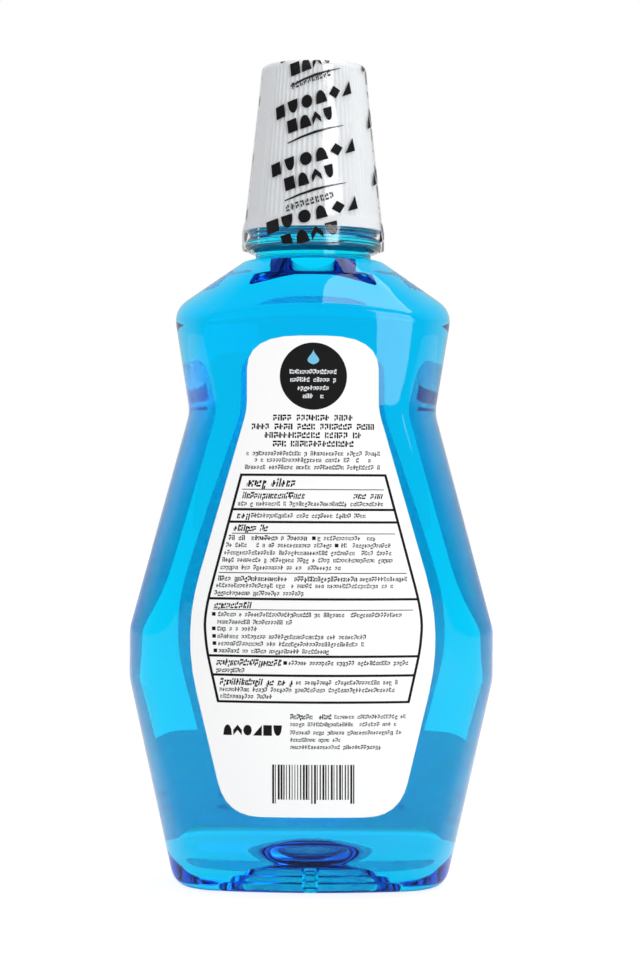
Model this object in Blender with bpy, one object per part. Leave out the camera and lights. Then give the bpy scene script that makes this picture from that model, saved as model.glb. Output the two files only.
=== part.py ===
"""One litre mouthwash bottle: a faceted hourglass bottle of blue rinse with a screw-on dosing cap
under a clear neckband. Metres, +Z up, standing on the XY plane, the back label facing -Y."""

import math

import bmesh
import bpy
import numpy as np

MM = 0.001
CLEARANCE = 0.3 * MM
LONG_STRETCH = 8 * MM
OVERRUN = 2 * MM
WELD = 0.003 * MM

# Body bends, from the foot up: half widths seen from the front, and the heights between them
FOOT_HALF_WIDTH = 43 * MM
BELLY_HALF_WIDTH = 57.45 * MM
WAIST_HALF_WIDTH = 38.8 * MM
SHOULDER_HALF_WIDTH = 44 * MM
LOWER_RISE = 65 * MM
BELLY_RISE = 15.6 * MM
TAPER_RISE = 68.3 * MM
CHEST_RISE = 32.3 * MM
SHOULDER_RISE = 15.1 * MM

# How far from each bend its rounding starts
HEEL_BEND = 5.5 * MM
HEEL_TOP_BEND = 3 * MM
BELLY_BEND = 1.8 * MM
WAIST_BEND = 2.7 * MM
SHOULDER_BEND = 5.2 * MM
CREASE_BEND = 1.2 * MM
FACET_BEND = 0.8 * MM

# The share of the half width from which a bend turns from its front reach to its side reach, and
# the share of a stretch that a bend may take
SIDE_FROM_SHARE = 0.75
MOST_BEND_SHARE = 0.45

# Front and back panels: upright cylinders that meet the rounded sides at a crease, and turn in to a
# shallower foot below the heel's rise
HALF_DEPTH = 34 * MM
PANEL_RADIUS = 120 * MM
PANEL_CORNER = 4 * MM
HEEL_RISE = 12.8 * MM
FOOT_DEPTH_SHARE = 0.66
FOOT_SIDE_CROWN = 10.5 * MM
BELLY_SIDE_CROWN = 7.6 * MM
WAIST_SIDE_CROWN = 8.8 * MM
SHOULDER_SIDE_CROWN = 10 * MM

# Shoulder: a cone, cut by a sloping facet over each panel
ARCH_RISE = 3.2 * MM
ARCH_DROP = 0.4 * MM
FACET_RISE = 10.1 * MM
FACET_HALF_WIDTH = 17.5 * MM
FACET_INSET = 10 * MM
FACET_CORNER = 2 * MM

# Push-up base, in steps that follow the foot, and the notch that turns the bottle for labelling
FOOT_BAND = 3.5 * MM
STEP_RUN = 4.4 * MM
STEP_SLOPE = 1.6 * MM
STEP_RISE = 3 * MM
STEPS = 4
DOME_RISE = 3.5 * MM
NOTCH_HALF_WIDTH = 1.7 * MM
NOTCH_HEIGHT = 10 * MM
NOTCH_DEPTH = 1.8 * MM
NOTCH_FOOT_DEPTH = 3.7 * MM

# Walls and filling
BODY_WALL = 0.5 * MM
NECK_WALL = 1.5 * MM
HEADSPACE = 8.5 * MM

# Neck finish, stacked up from the top of the shoulder
BORE_RADIUS = 16 * MM
COLLAR_PROUD = 3.9 * MM
COLLAR_RISE = 1 * MM
NECK_STEM = 0.7 * MM
STEM_RISE = 1.6 * MM
BEAD_PROUD = 3.3 * MM
BEAD_RISE = 5.4 * MM
FLANGE_GAP = 0.4 * MM
FLANGE_PROUD = 2 * MM
FLANGE_RISE = 1.1 * MM
FINISH_HEIGHT = 11 * MM
LAND_BEVEL = 0.3 * MM

# Thread, shared by the neck and the cap
THREAD_LEAD = 4.23 * MM
THREAD_DEPTH = 1.2 * MM
THREAD_ROOT = 2.3 * MM
THREAD_CREST = 1 * MM
THREAD_TURNS = 1.5
CAP_THREAD_TURNS = 1.25
THREAD_START = 2.2 * MM
THREAD_RUNOUT_SHARE = 0.12
THREAD_SINK = 0.6 * MM
THREAD_END_SHARE = 0.5

# Cap shell
RIM_GAP = 0.3 * MM
RIM_WALL = 1.15 * MM
RIM_FLARE = 0.5 * MM
RIM_RECESS = 1 * MM
RIM_RECESS_RISE = 2.4 * MM
RIM_BAND = 3.2 * MM
CAP_HEIGHT = 52.4 * MM
CAP_TOP_RADIUS = 16 * MM
CAP_WALL = 1.1 * MM
CAP_ROUND = 2 * MM
RIBS = 72
RIB_DEPTH = 0.45 * MM
RIB_BLEND = 0.6 * MM
LEDGE_BITE = 0.6 * MM

# Dosing cup and its gasket
GASKET = 1.2 * MM
GASKET_INSET = 0.2 * MM
FLANGE_THICK = 1 * MM
FLANGE_REACH = 0.8 * MM
CUP_WALL = 0.9 * MM
CUP_BORE_GAP = 0.8 * MM
CUP_LIP = 7 * MM
CUP_DRAFT = 1.1 * MM
CUP_ROUND = 1.5 * MM
FILL_LINE_DEPTH = 33.4 * MM
FILL_LINE_PROUD = 0.25 * MM
FILL_LINE_RISE = 0.8 * MM

# Neckband film, and the strip between its two perforated lines, as turns from the front
FILM = 0.2 * MM
FILM_FOOT = 1.2 * MM
FILM_CURL_SHARE = 0.55
STRIP_FROM = math.radians(-87)
STRIP_TO = math.radians(-50)

# Labels: the panel's outline drawn in by a margin, with rounded corners. The front one stands on a
# wider foot
LABEL = 0.2 * MM
LABEL_MARGIN = 10 * MM
LABEL_TOP_MARGIN = 9.4 * MM
LABEL_FOOT = 25.2 * MM
LABEL_FOOT_TAPER = 2.8 * MM
LABEL_CORNER = 10.5 * MM
LABEL_TOP_CORNER = 16 * MM
LABEL_BELLY_BEND = 18.5 * MM
LABEL_WAIST_BEND = 3 * MM
BANNER_FOOT = 15.5 * MM
BANNER_TOP = 46.7 * MM
BANNER_SLOPE = 0.4 * MM
BANNER_MARGIN = 4.2 * MM
BANNER_CORNER = 5 * MM
BANNER_NOTCH_CORNER = 2 * MM

# Counts of facets
PANEL_STEPS = 4
CORNER_STEPS = 3
SIDE_STEPS = 3
BEND_STEPS = 2
STRETCH_STEPS = 2
LABEL_COLUMNS = 8
LABEL_STEPS = 2
TURN_STEPS = 40
BEAD_STEPS = 6
THREAD_STEPS = 32
ROUND_STEPS = 3

# Heights that follow from the sizes above
BELLY_LOW = LOWER_RISE
BELLY_HIGH = BELLY_LOW + BELLY_RISE
WAIST = BELLY_HIGH + TAPER_RISE
SHOULDER = WAIST + CHEST_RISE
COLLAR = SHOULDER + SHOULDER_RISE
STEM = COLLAR + COLLAR_RISE
BEAD = STEM + STEM_RISE
FLANGE = BEAD + BEAD_RISE + FLANGE_GAP
FINISH = FLANGE + FLANGE_RISE
LAND = FINISH + FINISH_HEIGHT
LIQUID_LEVEL = LAND - HEADSPACE

# The half depth of the foot, in front of the heel
FOOT_HALF_DEPTH = HALF_DEPTH * FOOT_DEPTH_SHARE

# Radii that follow from the bore
ROOT_RADIUS = BORE_RADIUS + NECK_WALL
THREAD_RADIUS = ROOT_RADIUS + THREAD_DEPTH
STEM_RADIUS = ROOT_RADIUS + NECK_STEM
COLLAR_RADIUS = STEM_RADIUS + COLLAR_PROUD
FLANGE_RADIUS = STEM_RADIUS + FLANGE_PROUD

# Cap places that follow from the neck
RIM = FINISH + RIM_GAP
CAP_BORE = THREAD_RADIUS + 2 * CLEARANCE
RIM_RADIUS = CAP_BORE + RIM_RECESS + RIM_WALL + RIB_DEPTH
CAP_TOP = RIM + CAP_HEIGHT
CEILING = CAP_TOP - CAP_WALL
GASKET_FOOT = LAND + CLEARANCE
CUP_FLANGE = GASKET_FOOT + GASKET + CLEARANCE
CUP_FLANGE_TOP = CUP_FLANGE + FLANGE_THICK
LEDGE = CUP_FLANGE_TOP + CLEARANCE
CUP_RADIUS = BORE_RADIUS - CUP_BORE_GAP
CUP_FLANGE_RADIUS = ROOT_RADIUS + FLANGE_REACH
CUP_TOP = CEILING - CLEARANCE
CUP_TOP_RADIUS = CUP_RADIUS - CUP_DRAFT
CUP_MOUTH = LAND - CUP_LIP


def clear_scene():
    """Remove whatever the scene starts with."""
    for item in list(bpy.data.objects):
        bpy.data.objects.remove(item, do_unlink=True)


def material(name, colour, roughness, alpha=1.0, transmission=0.0):
    """A plain Principled material."""
    made = bpy.data.materials.new(name)
    made.use_nodes = True
    shader = made.node_tree.nodes["Principled BSDF"]
    shader.inputs["Base Color"].default_value = (*colour, 1.0)
    shader.inputs["Roughness"].default_value = roughness
    shader.inputs["Metallic"].default_value = 0.0
    shader.inputs["Transmission Weight"].default_value = transmission
    shader.inputs["Alpha"].default_value = alpha
    made.diffuse_color = (*colour, alpha)
    return made


def add_object(name, mesh, finish=None):
    """Put a mesh in the scene, shaded smooth but for its sharp bends."""
    item = bpy.data.objects.new(name, mesh)
    bpy.context.scene.collection.objects.link(item)
    mesh.shade_smooth()
    mesh.set_sharp_from_angle(angle=math.radians(30))
    if finish is not None:
        mesh.materials.append(finish)
    return item


def as_cutter(item):
    """Keep a helper out of the renders and the parts."""
    item.hide_render = True
    item.display_type = "WIRE"
    return item


def combine(item, other, operation):
    """Join or cut an object with a helper."""
    change = item.modifiers.new(other.name, "BOOLEAN")
    change.operation = operation
    change.solver = "EXACT"
    change.object = as_cutter(other)


# Sections and lofts of the body


def arc_drop(reach, radius):
    """How far a circle of this radius falls away at this reach from its crown."""
    return radius - math.sqrt(radius * radius - reach * reach)


def side_radius(depth, crown):
    """The radius of the rounded side that stands out by the crown over this half depth."""
    return (depth * depth + crown * crown) / (2 * crown)


def panel_quarter(half_width, half_depth, crown, corner, flat_front=False):
    """A quarter section, from the middle of the front round to the middle of the side.

    The front is an arc of the panel's radius, or a flat, the side is an arc that stands out by the
    crown, and they meet in a crease that is rounded over the corner's length.
    """
    crease = half_width - crown

    def front(x):
        drop = 0 if flat_front else arc_drop(x, PANEL_RADIUS)
        return np.array((x, -half_depth + drop))

    depth = -front(crease)[1]
    round_radius = side_radius(depth, crown)

    def side(y):
        return np.array((half_width - arc_drop(y, round_radius), -y))

    points = [front((crease - corner) * i / PANEL_STEPS) for i in range(PANEL_STEPS + 1)]
    sides = [side((depth - corner) * (1 - i / SIDE_STEPS)) for i in range(SIDE_STEPS + 1)]
    for i in range(1, CORNER_STEPS):
        points.append(bend_point(points[PANEL_STEPS], front(crease), sides[0], i / CORNER_STEPS))
    return np.array(points + sides)


def round_quarter(radius):
    """A quarter circle with as many points as the body's quarter section."""
    count = PANEL_STEPS + CORNER_STEPS + SIDE_STEPS
    turns = np.arange(count + 1) / count * math.pi / 2
    return radius * np.column_stack((np.sin(turns), -np.cos(turns)))


def bend_point(start, corner, end, share):
    """A point on the curve that rounds a corner."""
    first = start + (corner - start) * share
    second = corner + (end - corner) * share
    return first + (second - first) * share


def ring(quarter, front_height, corner_height=None, side_height=None):
    """Mirror a quarter section into a closed ring, counted round from the front.

    Its height may fall from the middle of the front to the crease, and rise again to the side.
    """
    corner_height = front_height if corner_height is None else corner_height
    side_height = front_height if side_height is None else side_height
    x, y = quarter.T
    crease = PANEL_STEPS + CORNER_STEPS // 2
    heights = np.where(
        np.arange(len(x)) <= crease,
        front_height + (corner_height - front_height) * (x / x[crease]) ** 2,
        side_height + (corner_height - side_height) * (y / y[crease]) ** 2,
    )
    right_front = np.column_stack((x, y, heights))
    right_back = right_front[-2::-1] * (1, -1, 1)
    left_back = right_front[1:] * (-1, -1, 1)
    left_front = right_front[-2:0:-1] * (-1, 1, 1)
    return np.concatenate((right_front, right_back, left_back, left_front))


def rounded(stations):
    """Rings up through the stations, each bend rounded over its front and side reach.

    stations is a list of (ring, front reach, side reach). A long stretch between two bends gets
    rings between, and a bend is rounded only as far as the stretches beside it allow.
    """
    first = stations[0][0]
    sideways = np.abs(first[:, 0]) / np.abs(first[:, 0]).max()
    share = np.clip((sideways - SIDE_FROM_SHARE) / (1 - SIDE_FROM_SHARE), 0, 1)[:, None]
    rings = [first]
    for (before, _, _), (here, front, side), (after, _, _) in zip(stations, stations[1:], stations[2:]):
        reach = front + (side - front) * share
        start = bend_end(here, before, reach)
        end = bend_end(here, after, reach)
        rings += stretch(rings[-1], start)
        rings += [bend_point(start, here, end, i / BEND_STEPS) for i in range(BEND_STEPS + 1)]
    return rings + stretch(rings[-1], stations[-1][0]) + [stations[-1][0]]


def bend_end(corner, other, reach):
    """The points at this reach from each corner towards the other, where a bend may start."""
    length = np.linalg.norm(other - corner, axis=-1, keepdims=True)
    return corner + (other - corner) * np.minimum(MOST_BEND_SHARE, reach / length)


def stretch(start, end):
    """The rings between two that are far apart."""
    if np.linalg.norm(end - start, axis=1).max() < LONG_STRETCH:
        return []
    return [start + (end - start) * i / STRETCH_STEPS for i in range(1, STRETCH_STEPS)]


def skin(rings, bottom, top):
    """A closed bmesh from the bottom point through each ring to the top point."""
    made = bmesh.new()
    rows = [[made.verts.new(point) for point in row] for row in rings]
    count = len(rows[0])
    poles = made.verts.new(bottom), made.verts.new(top)
    for i in range(count):
        j = (i + 1) % count
        made.faces.new((poles[0], rows[0][j], rows[0][i]))
        made.faces.new((rows[-1][i], rows[-1][j], poles[1]))
        for low, high in zip(rows, rows[1:]):
            quad(made, low[i], low[j], high[j], high[i])
    made.normal_update()
    return made


def quad(made, a, b, c, d):
    """Two triangles, split along the shorter diagonal, so that nested skins split alike."""
    if (a.co - c.co).length < (b.co - d.co).length:
        made.faces.new((a, b, c))
        made.faces.new((a, c, d))
    else:
        made.faces.new((a, b, d))
        made.faces.new((b, c, d))


def mesh_from(name, made):
    """Turn a bmesh into a mesh."""
    mesh = bpy.data.meshes.new(name)
    made.to_mesh(mesh)
    made.free()
    return mesh


def drawn_in(rings, bottom, distance):
    """The same rings and bottom point, moved in square to the skin by a distance."""
    made = skin(rings, bottom, rings[-1].mean(axis=0))
    moved = [vert.co - vert.normal * vert.calc_shell_factor() * distance for vert in made.verts]
    made.free()
    points = np.array(moved)
    count = len(rings[0])
    rows = [points[i * count : (i + 1) * count] for i in range(len(rings))]
    return rows, points[len(rings) * count]


# Turned pieces and threads


def turned(name, outline, finish=None, steps=TURN_STEPS):
    """Turn an outline of (radius, height) points round the Z axis.

    The points run down the outside and up the inside. An outline that starts and ends on the axis
    stays open there, and any other is closed.
    """
    mesh = bpy.data.meshes.new(name)
    count = len(outline)
    on_axis = outline[0][0] == 0 and outline[-1][0] == 0
    edges = [(i, (i + 1) % count) for i in range(count - 1 if on_axis else count)]
    mesh.from_pydata([(radius, 0, height) for radius, height in outline], edges, [])
    item = add_object(name, mesh, finish)
    screw = item.modifiers.new("Turn", "SCREW")
    screw.axis = "Z"
    screw.angle = 2 * math.pi
    screw.steps = steps
    screw.render_steps = steps
    screw.use_merge_vertices = True
    screw.merge_threshold = WELD
    screw.use_smooth_shade = True
    return item


def thread(name, root_radius, crest_radius, start, turns):
    """A right-hand thread ridge from its root, inside the wall, to its crest, fading out at its ends."""
    made = bmesh.new()
    count = round(turns * THREAD_STEPS)
    sink = math.copysign(THREAD_SINK, root_radius - crest_radius)
    base = root_radius + sink
    buried = base - sink * THREAD_END_SHARE
    rows = []
    for i in range(count + 1):
        share = i / count
        fade = min(1, share / THREAD_RUNOUT_SHARE, (1 - share) / THREAD_RUNOUT_SHARE)
        crest = buried + (crest_radius - buried) * fade
        turn = share * turns * 2 * math.pi
        height = start + share * turns * THREAD_LEAD
        outline = (
            (base, height - THREAD_ROOT / 2),
            (crest, height - THREAD_CREST / 2),
            (crest, height + THREAD_CREST / 2),
            (base, height + THREAD_ROOT / 2),
        )
        direction = (math.cos(turn), math.sin(turn))
        rows.append([made.verts.new((r * direction[0], r * direction[1], z)) for r, z in outline])
    for low, high in zip(rows, rows[1:]):
        for i in range(4):
            j = (i + 1) % 4
            made.faces.new((low[i], low[j], high[j], high[i]))
    made.faces.new(reversed(rows[0]))
    made.faces.new(rows[-1])
    bmesh.ops.recalc_face_normals(made, faces=made.faces)
    return add_object(name, mesh_from(name, made))


def arc_outline(centre, radius, start, end, steps):
    """Points of (radius, height) on an arc between two turns from the level, both ends included."""
    turns = np.linspace(start, end, steps + 1)
    return [(centre[0] + radius * math.cos(t), centre[1] + radius * math.sin(t)) for t in turns]


# Bottle and liquid


def base_rings():
    """The stepped push-up, from its innermost step out to the standing band."""
    rings = []
    for i in reversed(range(STEPS)):
        inset = HEEL_BEND + FOOT_BAND + i * STEP_RUN
        for run, rise in ((STEP_SLOPE, i + 1), (0, i)):
            rings.append(foot_ring(inset + run, rise * STEP_RISE))
    return rings


def foot_ring(inset, height):
    """The foot's section, drawn in by an inset, at a height."""
    share = (HALF_DEPTH - inset) / HALF_DEPTH * FOOT_DEPTH_SHARE
    quarter = panel_quarter(
        FOOT_HALF_WIDTH - inset, HALF_DEPTH * share, FOOT_SIDE_CROWN * share, PANEL_CORNER
    )
    return ring(quarter, height)


def heel_ring():
    """The section at the top of the heel, on the straight line of the side from foot to belly."""
    share = HEEL_RISE / BELLY_LOW
    half_width = FOOT_HALF_WIDTH + (BELLY_HALF_WIDTH - FOOT_HALF_WIDTH) * share
    crown = FOOT_SIDE_CROWN + (BELLY_SIDE_CROWN - FOOT_SIDE_CROWN) * share
    return ring(panel_quarter(half_width, HALF_DEPTH, crown, PANEL_CORNER), HEEL_RISE)


def shoulder_side(height):
    """The half width of the shoulder's cone at a height."""
    share = (height - SHOULDER) / SHOULDER_RISE
    return SHOULDER_HALF_WIDTH + (COLLAR_RADIUS - SHOULDER_HALF_WIDTH) * share


def body_rings():
    """The bottle's outer skin from the standing band to the collar under the neck."""
    facet = SHOULDER + FACET_RISE
    facet_side = shoulder_side(facet)
    stations = [
        (foot_ring(HEEL_BEND + FOOT_BAND, 0), 0, 0),
        (foot_ring(0, 0), HEEL_BEND, HEEL_BEND),
        (heel_ring(), HEEL_TOP_BEND, HEEL_TOP_BEND),
    ]
    for half_width, crown, height, bend in (
        (BELLY_HALF_WIDTH, BELLY_SIDE_CROWN, BELLY_LOW, BELLY_BEND),
        (BELLY_HALF_WIDTH, BELLY_SIDE_CROWN, BELLY_HIGH, BELLY_BEND),
        (WAIST_HALF_WIDTH, WAIST_SIDE_CROWN, WAIST, WAIST_BEND),
    ):
        quarter = panel_quarter(half_width, HALF_DEPTH, crown, PANEL_CORNER)
        stations.append((ring(quarter, height), bend, bend))
    quarter = panel_quarter(SHOULDER_HALF_WIDTH, HALF_DEPTH, SHOULDER_SIDE_CROWN, PANEL_CORNER)
    edge = ring(quarter, SHOULDER - ARCH_DROP, SHOULDER - ARCH_DROP - ARCH_RISE, SHOULDER)
    stations.append((edge, CREASE_BEND, SHOULDER_BEND))
    quarter = panel_quarter(
        facet_side,
        HALF_DEPTH - FACET_INSET,
        facet_side - FACET_HALF_WIDTH,
        FACET_CORNER,
        flat_front=True,
    )
    stations.append((ring(quarter, facet), FACET_BEND, FACET_BEND))
    stations.append((ring(round_quarter(COLLAR_RADIUS), COLLAR), 0, 0))
    return rounded(stations)


def neck_rings():
    """The outside of the neck finish up to its land, without the thread."""
    outline = [(STEM_RADIUS, STEM), (STEM_RADIUS, BEAD)]
    for i in range(1, BEAD_STEPS):
        turn = math.pi * i / BEAD_STEPS
        outline.append(
            (STEM_RADIUS + BEAD_PROUD * math.sin(turn), BEAD + BEAD_RISE * (1 - math.cos(turn)) / 2)
        )
    outline += [
        (STEM_RADIUS, BEAD + BEAD_RISE),
        (FLANGE_RADIUS, FLANGE),
        (FLANGE_RADIUS, FINISH),
        (ROOT_RADIUS, FINISH),
        (ROOT_RADIUS, LAND - LAND_BEVEL),
        (ROOT_RADIUS - LAND_BEVEL, LAND),
    ]
    return [ring(round_quarter(radius), height) for radius, height in outline]


def body_skin():
    """The body's outer rings from the push-up to the collar, and the crown of the push-up."""
    return base_rings()[:-1] + body_rings(), np.array((0, 0, STEPS * STEP_RISE + DOME_RISE))


def filling(name, wall, bore_radius, top, finish=None):
    """The body's inside, drawn in by a wall, with a straight bore up to a height."""
    outer, dome = body_skin()
    rings, bottom = drawn_in(outer, dome, wall)
    rings += [ring(round_quarter(bore_radius), height) for height in (STEM, top)]
    made = skin(rings, bottom, (0, 0, top))
    inside = add_object(name, mesh_from(name, made), finish)
    for facing in (-1, 1):
        combine(inside, notch(f"{name}_notch", facing, wall), "DIFFERENCE")
    return inside


def notch(name, facing, wall=0):
    """A wedge that cuts the index notch into the front or back of the heel, grown by a wall."""
    half_width = NOTCH_HALF_WIDTH + wall
    outside = HALF_DEPTH + OVERRUN
    bend = NOTCH_HEIGHT - NOTCH_DEPTH
    skin_depth = FOOT_HALF_DEPTH + (HALF_DEPTH - FOOT_HALF_DEPTH) * bend / HEEL_RISE
    outline = (
        (outside, -OVERRUN),
        (FOOT_HALF_DEPTH - NOTCH_FOOT_DEPTH - wall, -OVERRUN),
        (skin_depth - NOTCH_DEPTH - wall, bend),
        (outside, NOTCH_HEIGHT + wall),
    )
    made = bmesh.new()
    left, right = (
        [made.verts.new((x, facing * y, z)) for y, z in outline] for x in (-half_width, half_width)
    )
    made.faces.new(left)
    made.faces.new(right)
    for i in range(len(outline)):
        made.faces.new((left[i - 1], left[i], right[i], right[i - 1]))
    bmesh.ops.recalc_face_normals(made, faces=made.faces)
    return add_object(name, mesh_from(name, made))


def build_bottle(finish):
    """The blow-moulded bottle: the outer skin with its notches and thread, hollowed by its filling."""
    outer, dome = body_skin()
    made = skin(outer + neck_rings(), dome, (0, 0, LAND))
    bottle = add_object("bottle", mesh_from("bottle", made), finish)
    for facing in (-1, 1):
        combine(bottle, notch("index_notch", facing), "DIFFERENCE")
    start = FINISH + THREAD_START
    combine(bottle, thread("neck_thread", ROOT_RADIUS, THREAD_RADIUS, start, THREAD_TURNS), "UNION")
    combine(bottle, filling("hollow", BODY_WALL, BORE_RADIUS, LAND + OVERRUN), "DIFFERENCE")
    return bottle


def build_mouthwash(finish):
    """The liquid, just clear of the wall, up to its level in the neck."""
    wall = BODY_WALL + CLEARANCE
    return filling("mouthwash", wall, BORE_RADIUS - CLEARANCE, LIQUID_LEVEL, finish)


# Cap, dosing cup and gasket


def cap_radius(height):
    """The crest radius of the cap's tapered wall at a height, without the flare of its rim."""
    share = (height - RIM) / (CAP_HEIGHT - CAP_ROUND)
    foot_radius = RIM_RADIUS - RIM_FLARE
    return foot_radius + (CAP_TOP_RADIUS - foot_radius) * share


def rib_ring(radius, height, depth):
    """A ring of crests and grooves."""
    turns = np.arange(2 * RIBS) * math.pi / RIBS
    radii = radius - depth * (np.arange(2 * RIBS) % 2)
    heights = np.full(2 * RIBS, height)
    return np.column_stack((radii * np.sin(turns), -radii * np.cos(turns), heights))


def build_cap_shell(finish):
    """The ribbed outer shell, hollowed from below, with the thread in its skirt."""
    shoulder = CAP_TOP - CAP_ROUND
    rings = [
        rib_ring(RIM_RADIUS, RIM, 0),
        rib_ring(cap_radius(RIM + RIM_BAND), RIM + RIM_BAND, 0),
        rib_ring(cap_radius(RIM + RIM_BAND + RIB_BLEND), RIM + RIM_BAND + RIB_BLEND, RIB_DEPTH),
        rib_ring(cap_radius(shoulder - RIB_BLEND), shoulder - RIB_BLEND, RIB_DEPTH),
    ]
    centre = (CAP_TOP_RADIUS - CAP_ROUND, shoulder)
    for radius, height in arc_outline(centre, CAP_ROUND, 0, math.pi / 2, ROUND_STEPS):
        rings.append(rib_ring(radius, height, 0))
    made = skin(rings, (0, 0, RIM), (0, 0, CAP_TOP))
    shell = add_object("cap_shell", mesh_from("cap_shell", made), finish)
    inset = CAP_WALL + RIB_DEPTH
    flange_bore = CUP_FLANGE_RADIUS + CLEARANCE
    bore_top = CUP_FLANGE - FLANGE_THICK
    cavity = [
        (0, CEILING),
        (cap_radius(CEILING) - inset, CEILING),
        (CUP_FLANGE_RADIUS - LEDGE_BITE, LEDGE),
        (flange_bore, LEDGE),
        (flange_bore, bore_top),
        (CAP_BORE, bore_top),
        (CAP_BORE, RIM + RIM_RECESS_RISE),
        (CAP_BORE + RIM_RECESS, RIM + RIM_RECESS_RISE),
        (CAP_BORE + RIM_RECESS, RIM - OVERRUN),
        (0, RIM - OVERRUN),
    ]
    combine(shell, turned("cap_cavity", cavity), "DIFFERENCE")
    start = FINISH + THREAD_START + THREAD_LEAD / 2
    crest = CAP_BORE - THREAD_DEPTH + CLEARANCE
    combine(shell, thread("cap_thread", CAP_BORE, crest, start, CAP_THREAD_TURNS), "UNION")
    return shell


def cup_radius(height):
    """The outer radius of the tapered cup at a height."""
    share = (height - CUP_MOUTH) / (CUP_TOP - CUP_MOUTH)
    return CUP_RADIUS - CUP_DRAFT * share


def build_dosing_cup(finish):
    """The measuring cup, open downwards, hung by its flange, with the fill line inside."""
    fill_line = CUP_TOP - CUP_WALL - FILL_LINE_DEPTH
    outline = [(0, CUP_TOP)]
    centre = (CUP_TOP_RADIUS - CUP_ROUND, CUP_TOP - CUP_ROUND)
    outline += arc_outline(centre, CUP_ROUND, math.pi / 2, 0, ROUND_STEPS)
    outline += [
        (cup_radius(CUP_FLANGE_TOP), CUP_FLANGE_TOP),
        (CUP_FLANGE_RADIUS, CUP_FLANGE_TOP),
        (CUP_FLANGE_RADIUS, CUP_FLANGE),
        (cup_radius(CUP_FLANGE), CUP_FLANGE),
        (cup_radius(CUP_MOUTH), CUP_MOUTH),
        (cup_radius(CUP_MOUTH) - CUP_WALL, CUP_MOUTH),
        (cup_radius(fill_line) - CUP_WALL, fill_line - FILL_LINE_RISE / 2),
        (cup_radius(fill_line) - CUP_WALL - FILL_LINE_PROUD, fill_line),
        (cup_radius(fill_line) - CUP_WALL, fill_line + FILL_LINE_RISE / 2),
        (CUP_TOP_RADIUS - CUP_WALL, CUP_TOP - CUP_ROUND),
        (CUP_TOP_RADIUS - CUP_ROUND, CUP_TOP - CUP_WALL),
        (0, CUP_TOP - CUP_WALL),
    ]
    return turned("dosing_cup", outline, finish)


def build_sealing_ring(finish):
    """The gasket on the neck's land."""
    inner = BORE_RADIUS + GASKET_INSET
    outer = ROOT_RADIUS - GASKET_INSET
    top = GASKET_FOOT + GASKET
    outline = [(outer, top), (outer, GASKET_FOOT), (inner, GASKET_FOOT), (inner, top)]
    return turned("sealing_ring", outline, finish)


# Neckband


def film_outline():
    """The film's inner face, from its foot below the bead to its curl over the cap's edge."""
    foot_radius = RIM_RADIUS + CLEARANCE
    outline = [
        (foot_radius, BEAD + FILM_FOOT),
        (foot_radius, RIM),
        (cap_radius(RIM + RIM_BAND) + CLEARANCE, RIM + RIM_BAND),
    ]
    shoulder = CAP_TOP - CAP_ROUND
    centre = (CAP_TOP_RADIUS - CAP_ROUND, shoulder)
    curl = FILM_CURL_SHARE * math.pi / 2
    return outline + arc_outline(centre, CAP_ROUND + CLEARANCE, 0, curl, ROUND_STEPS)


def film_sector(name, start, end, finish):
    """A sector of the film, between two turns from the front, thickened outwards."""
    steps = max(1, round(TURN_STEPS * (end - start) / (2 * math.pi)))
    made = bmesh.new()
    rows = []
    for i in range(steps + 1):
        turn = start + (end - start) * i / steps
        direction = (math.sin(turn), -math.cos(turn))
        rows.append(
            [made.verts.new((r * direction[0], r * direction[1], z)) for r, z in film_outline()]
        )
    for here, after in zip(rows, rows[1:]):
        for i in range(len(here) - 1):
            made.faces.new((here[i], after[i], after[i + 1], here[i + 1]))
    item = add_object(name, mesh_from(name, made), finish)
    wall = item.modifiers.new("Film", "SOLIDIFY")
    wall.thickness = FILM
    wall.offset = 1
    wall.use_even_offset = True
    return item


def build_neckband(finish, strip_finish):
    """The sleeve and the tear strip, apart by the width of their perforations."""
    gap = CLEARANCE / RIM_RADIUS
    turn_round = STRIP_FROM + 2 * math.pi
    return [
        film_sector("neckband_sleeve", STRIP_TO + gap, turn_round - gap, finish),
        film_sector("neckband_tear_strip", STRIP_FROM, STRIP_TO, strip_finish),
    ]


# Labels


def crease_half_width(height):
    """The half width of the panel, between its creases, at a height."""
    bends = (
        (0, FOOT_HALF_WIDTH - FOOT_SIDE_CROWN),
        (BELLY_LOW, BELLY_HALF_WIDTH - BELLY_SIDE_CROWN),
        (BELLY_HIGH, BELLY_HALF_WIDTH - BELLY_SIDE_CROWN),
        (WAIST, WAIST_HALF_WIDTH - WAIST_SIDE_CROWN),
        (SHOULDER, WAIST_HALF_WIDTH - WAIST_SIDE_CROWN),
    )
    return float(np.interp(height, [z for z, _ in bends], [width for _, width in bends]))


def panel_edge(foot_half_width, foot, corner):
    """The corners of a label's right edge as (half width, height, bend), from its foot to its top."""
    top = SHOULDER - ARCH_DROP - LABEL_TOP_MARGIN
    waist = crease_half_width(WAIST) - LABEL_MARGIN
    return [
        (-foot_half_width, foot, 0),
        (foot_half_width, foot, corner),
        (crease_half_width(BELLY_HIGH) - LABEL_MARGIN, BELLY_HIGH, LABEL_BELLY_BEND),
        (waist, WAIST, LABEL_WAIST_BEND),
        (waist, top, LABEL_TOP_CORNER),
        (-waist, top, 0),
    ]


def label_half_width(height):
    """The half width of the back label's foot line at a height under the belly."""
    foot = crease_half_width(LABEL_FOOT) - LABEL_MARGIN - LABEL_FOOT_TAPER
    belly = crease_half_width(BELLY_HIGH) - LABEL_MARGIN
    return foot + (belly - foot) * (height - LABEL_FOOT) / (BELLY_HIGH - LABEL_FOOT)


def back_corners():
    """The back label: the panel drawn in."""
    return panel_edge(label_half_width(LABEL_FOOT), LABEL_FOOT, LABEL_CORNER)


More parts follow.
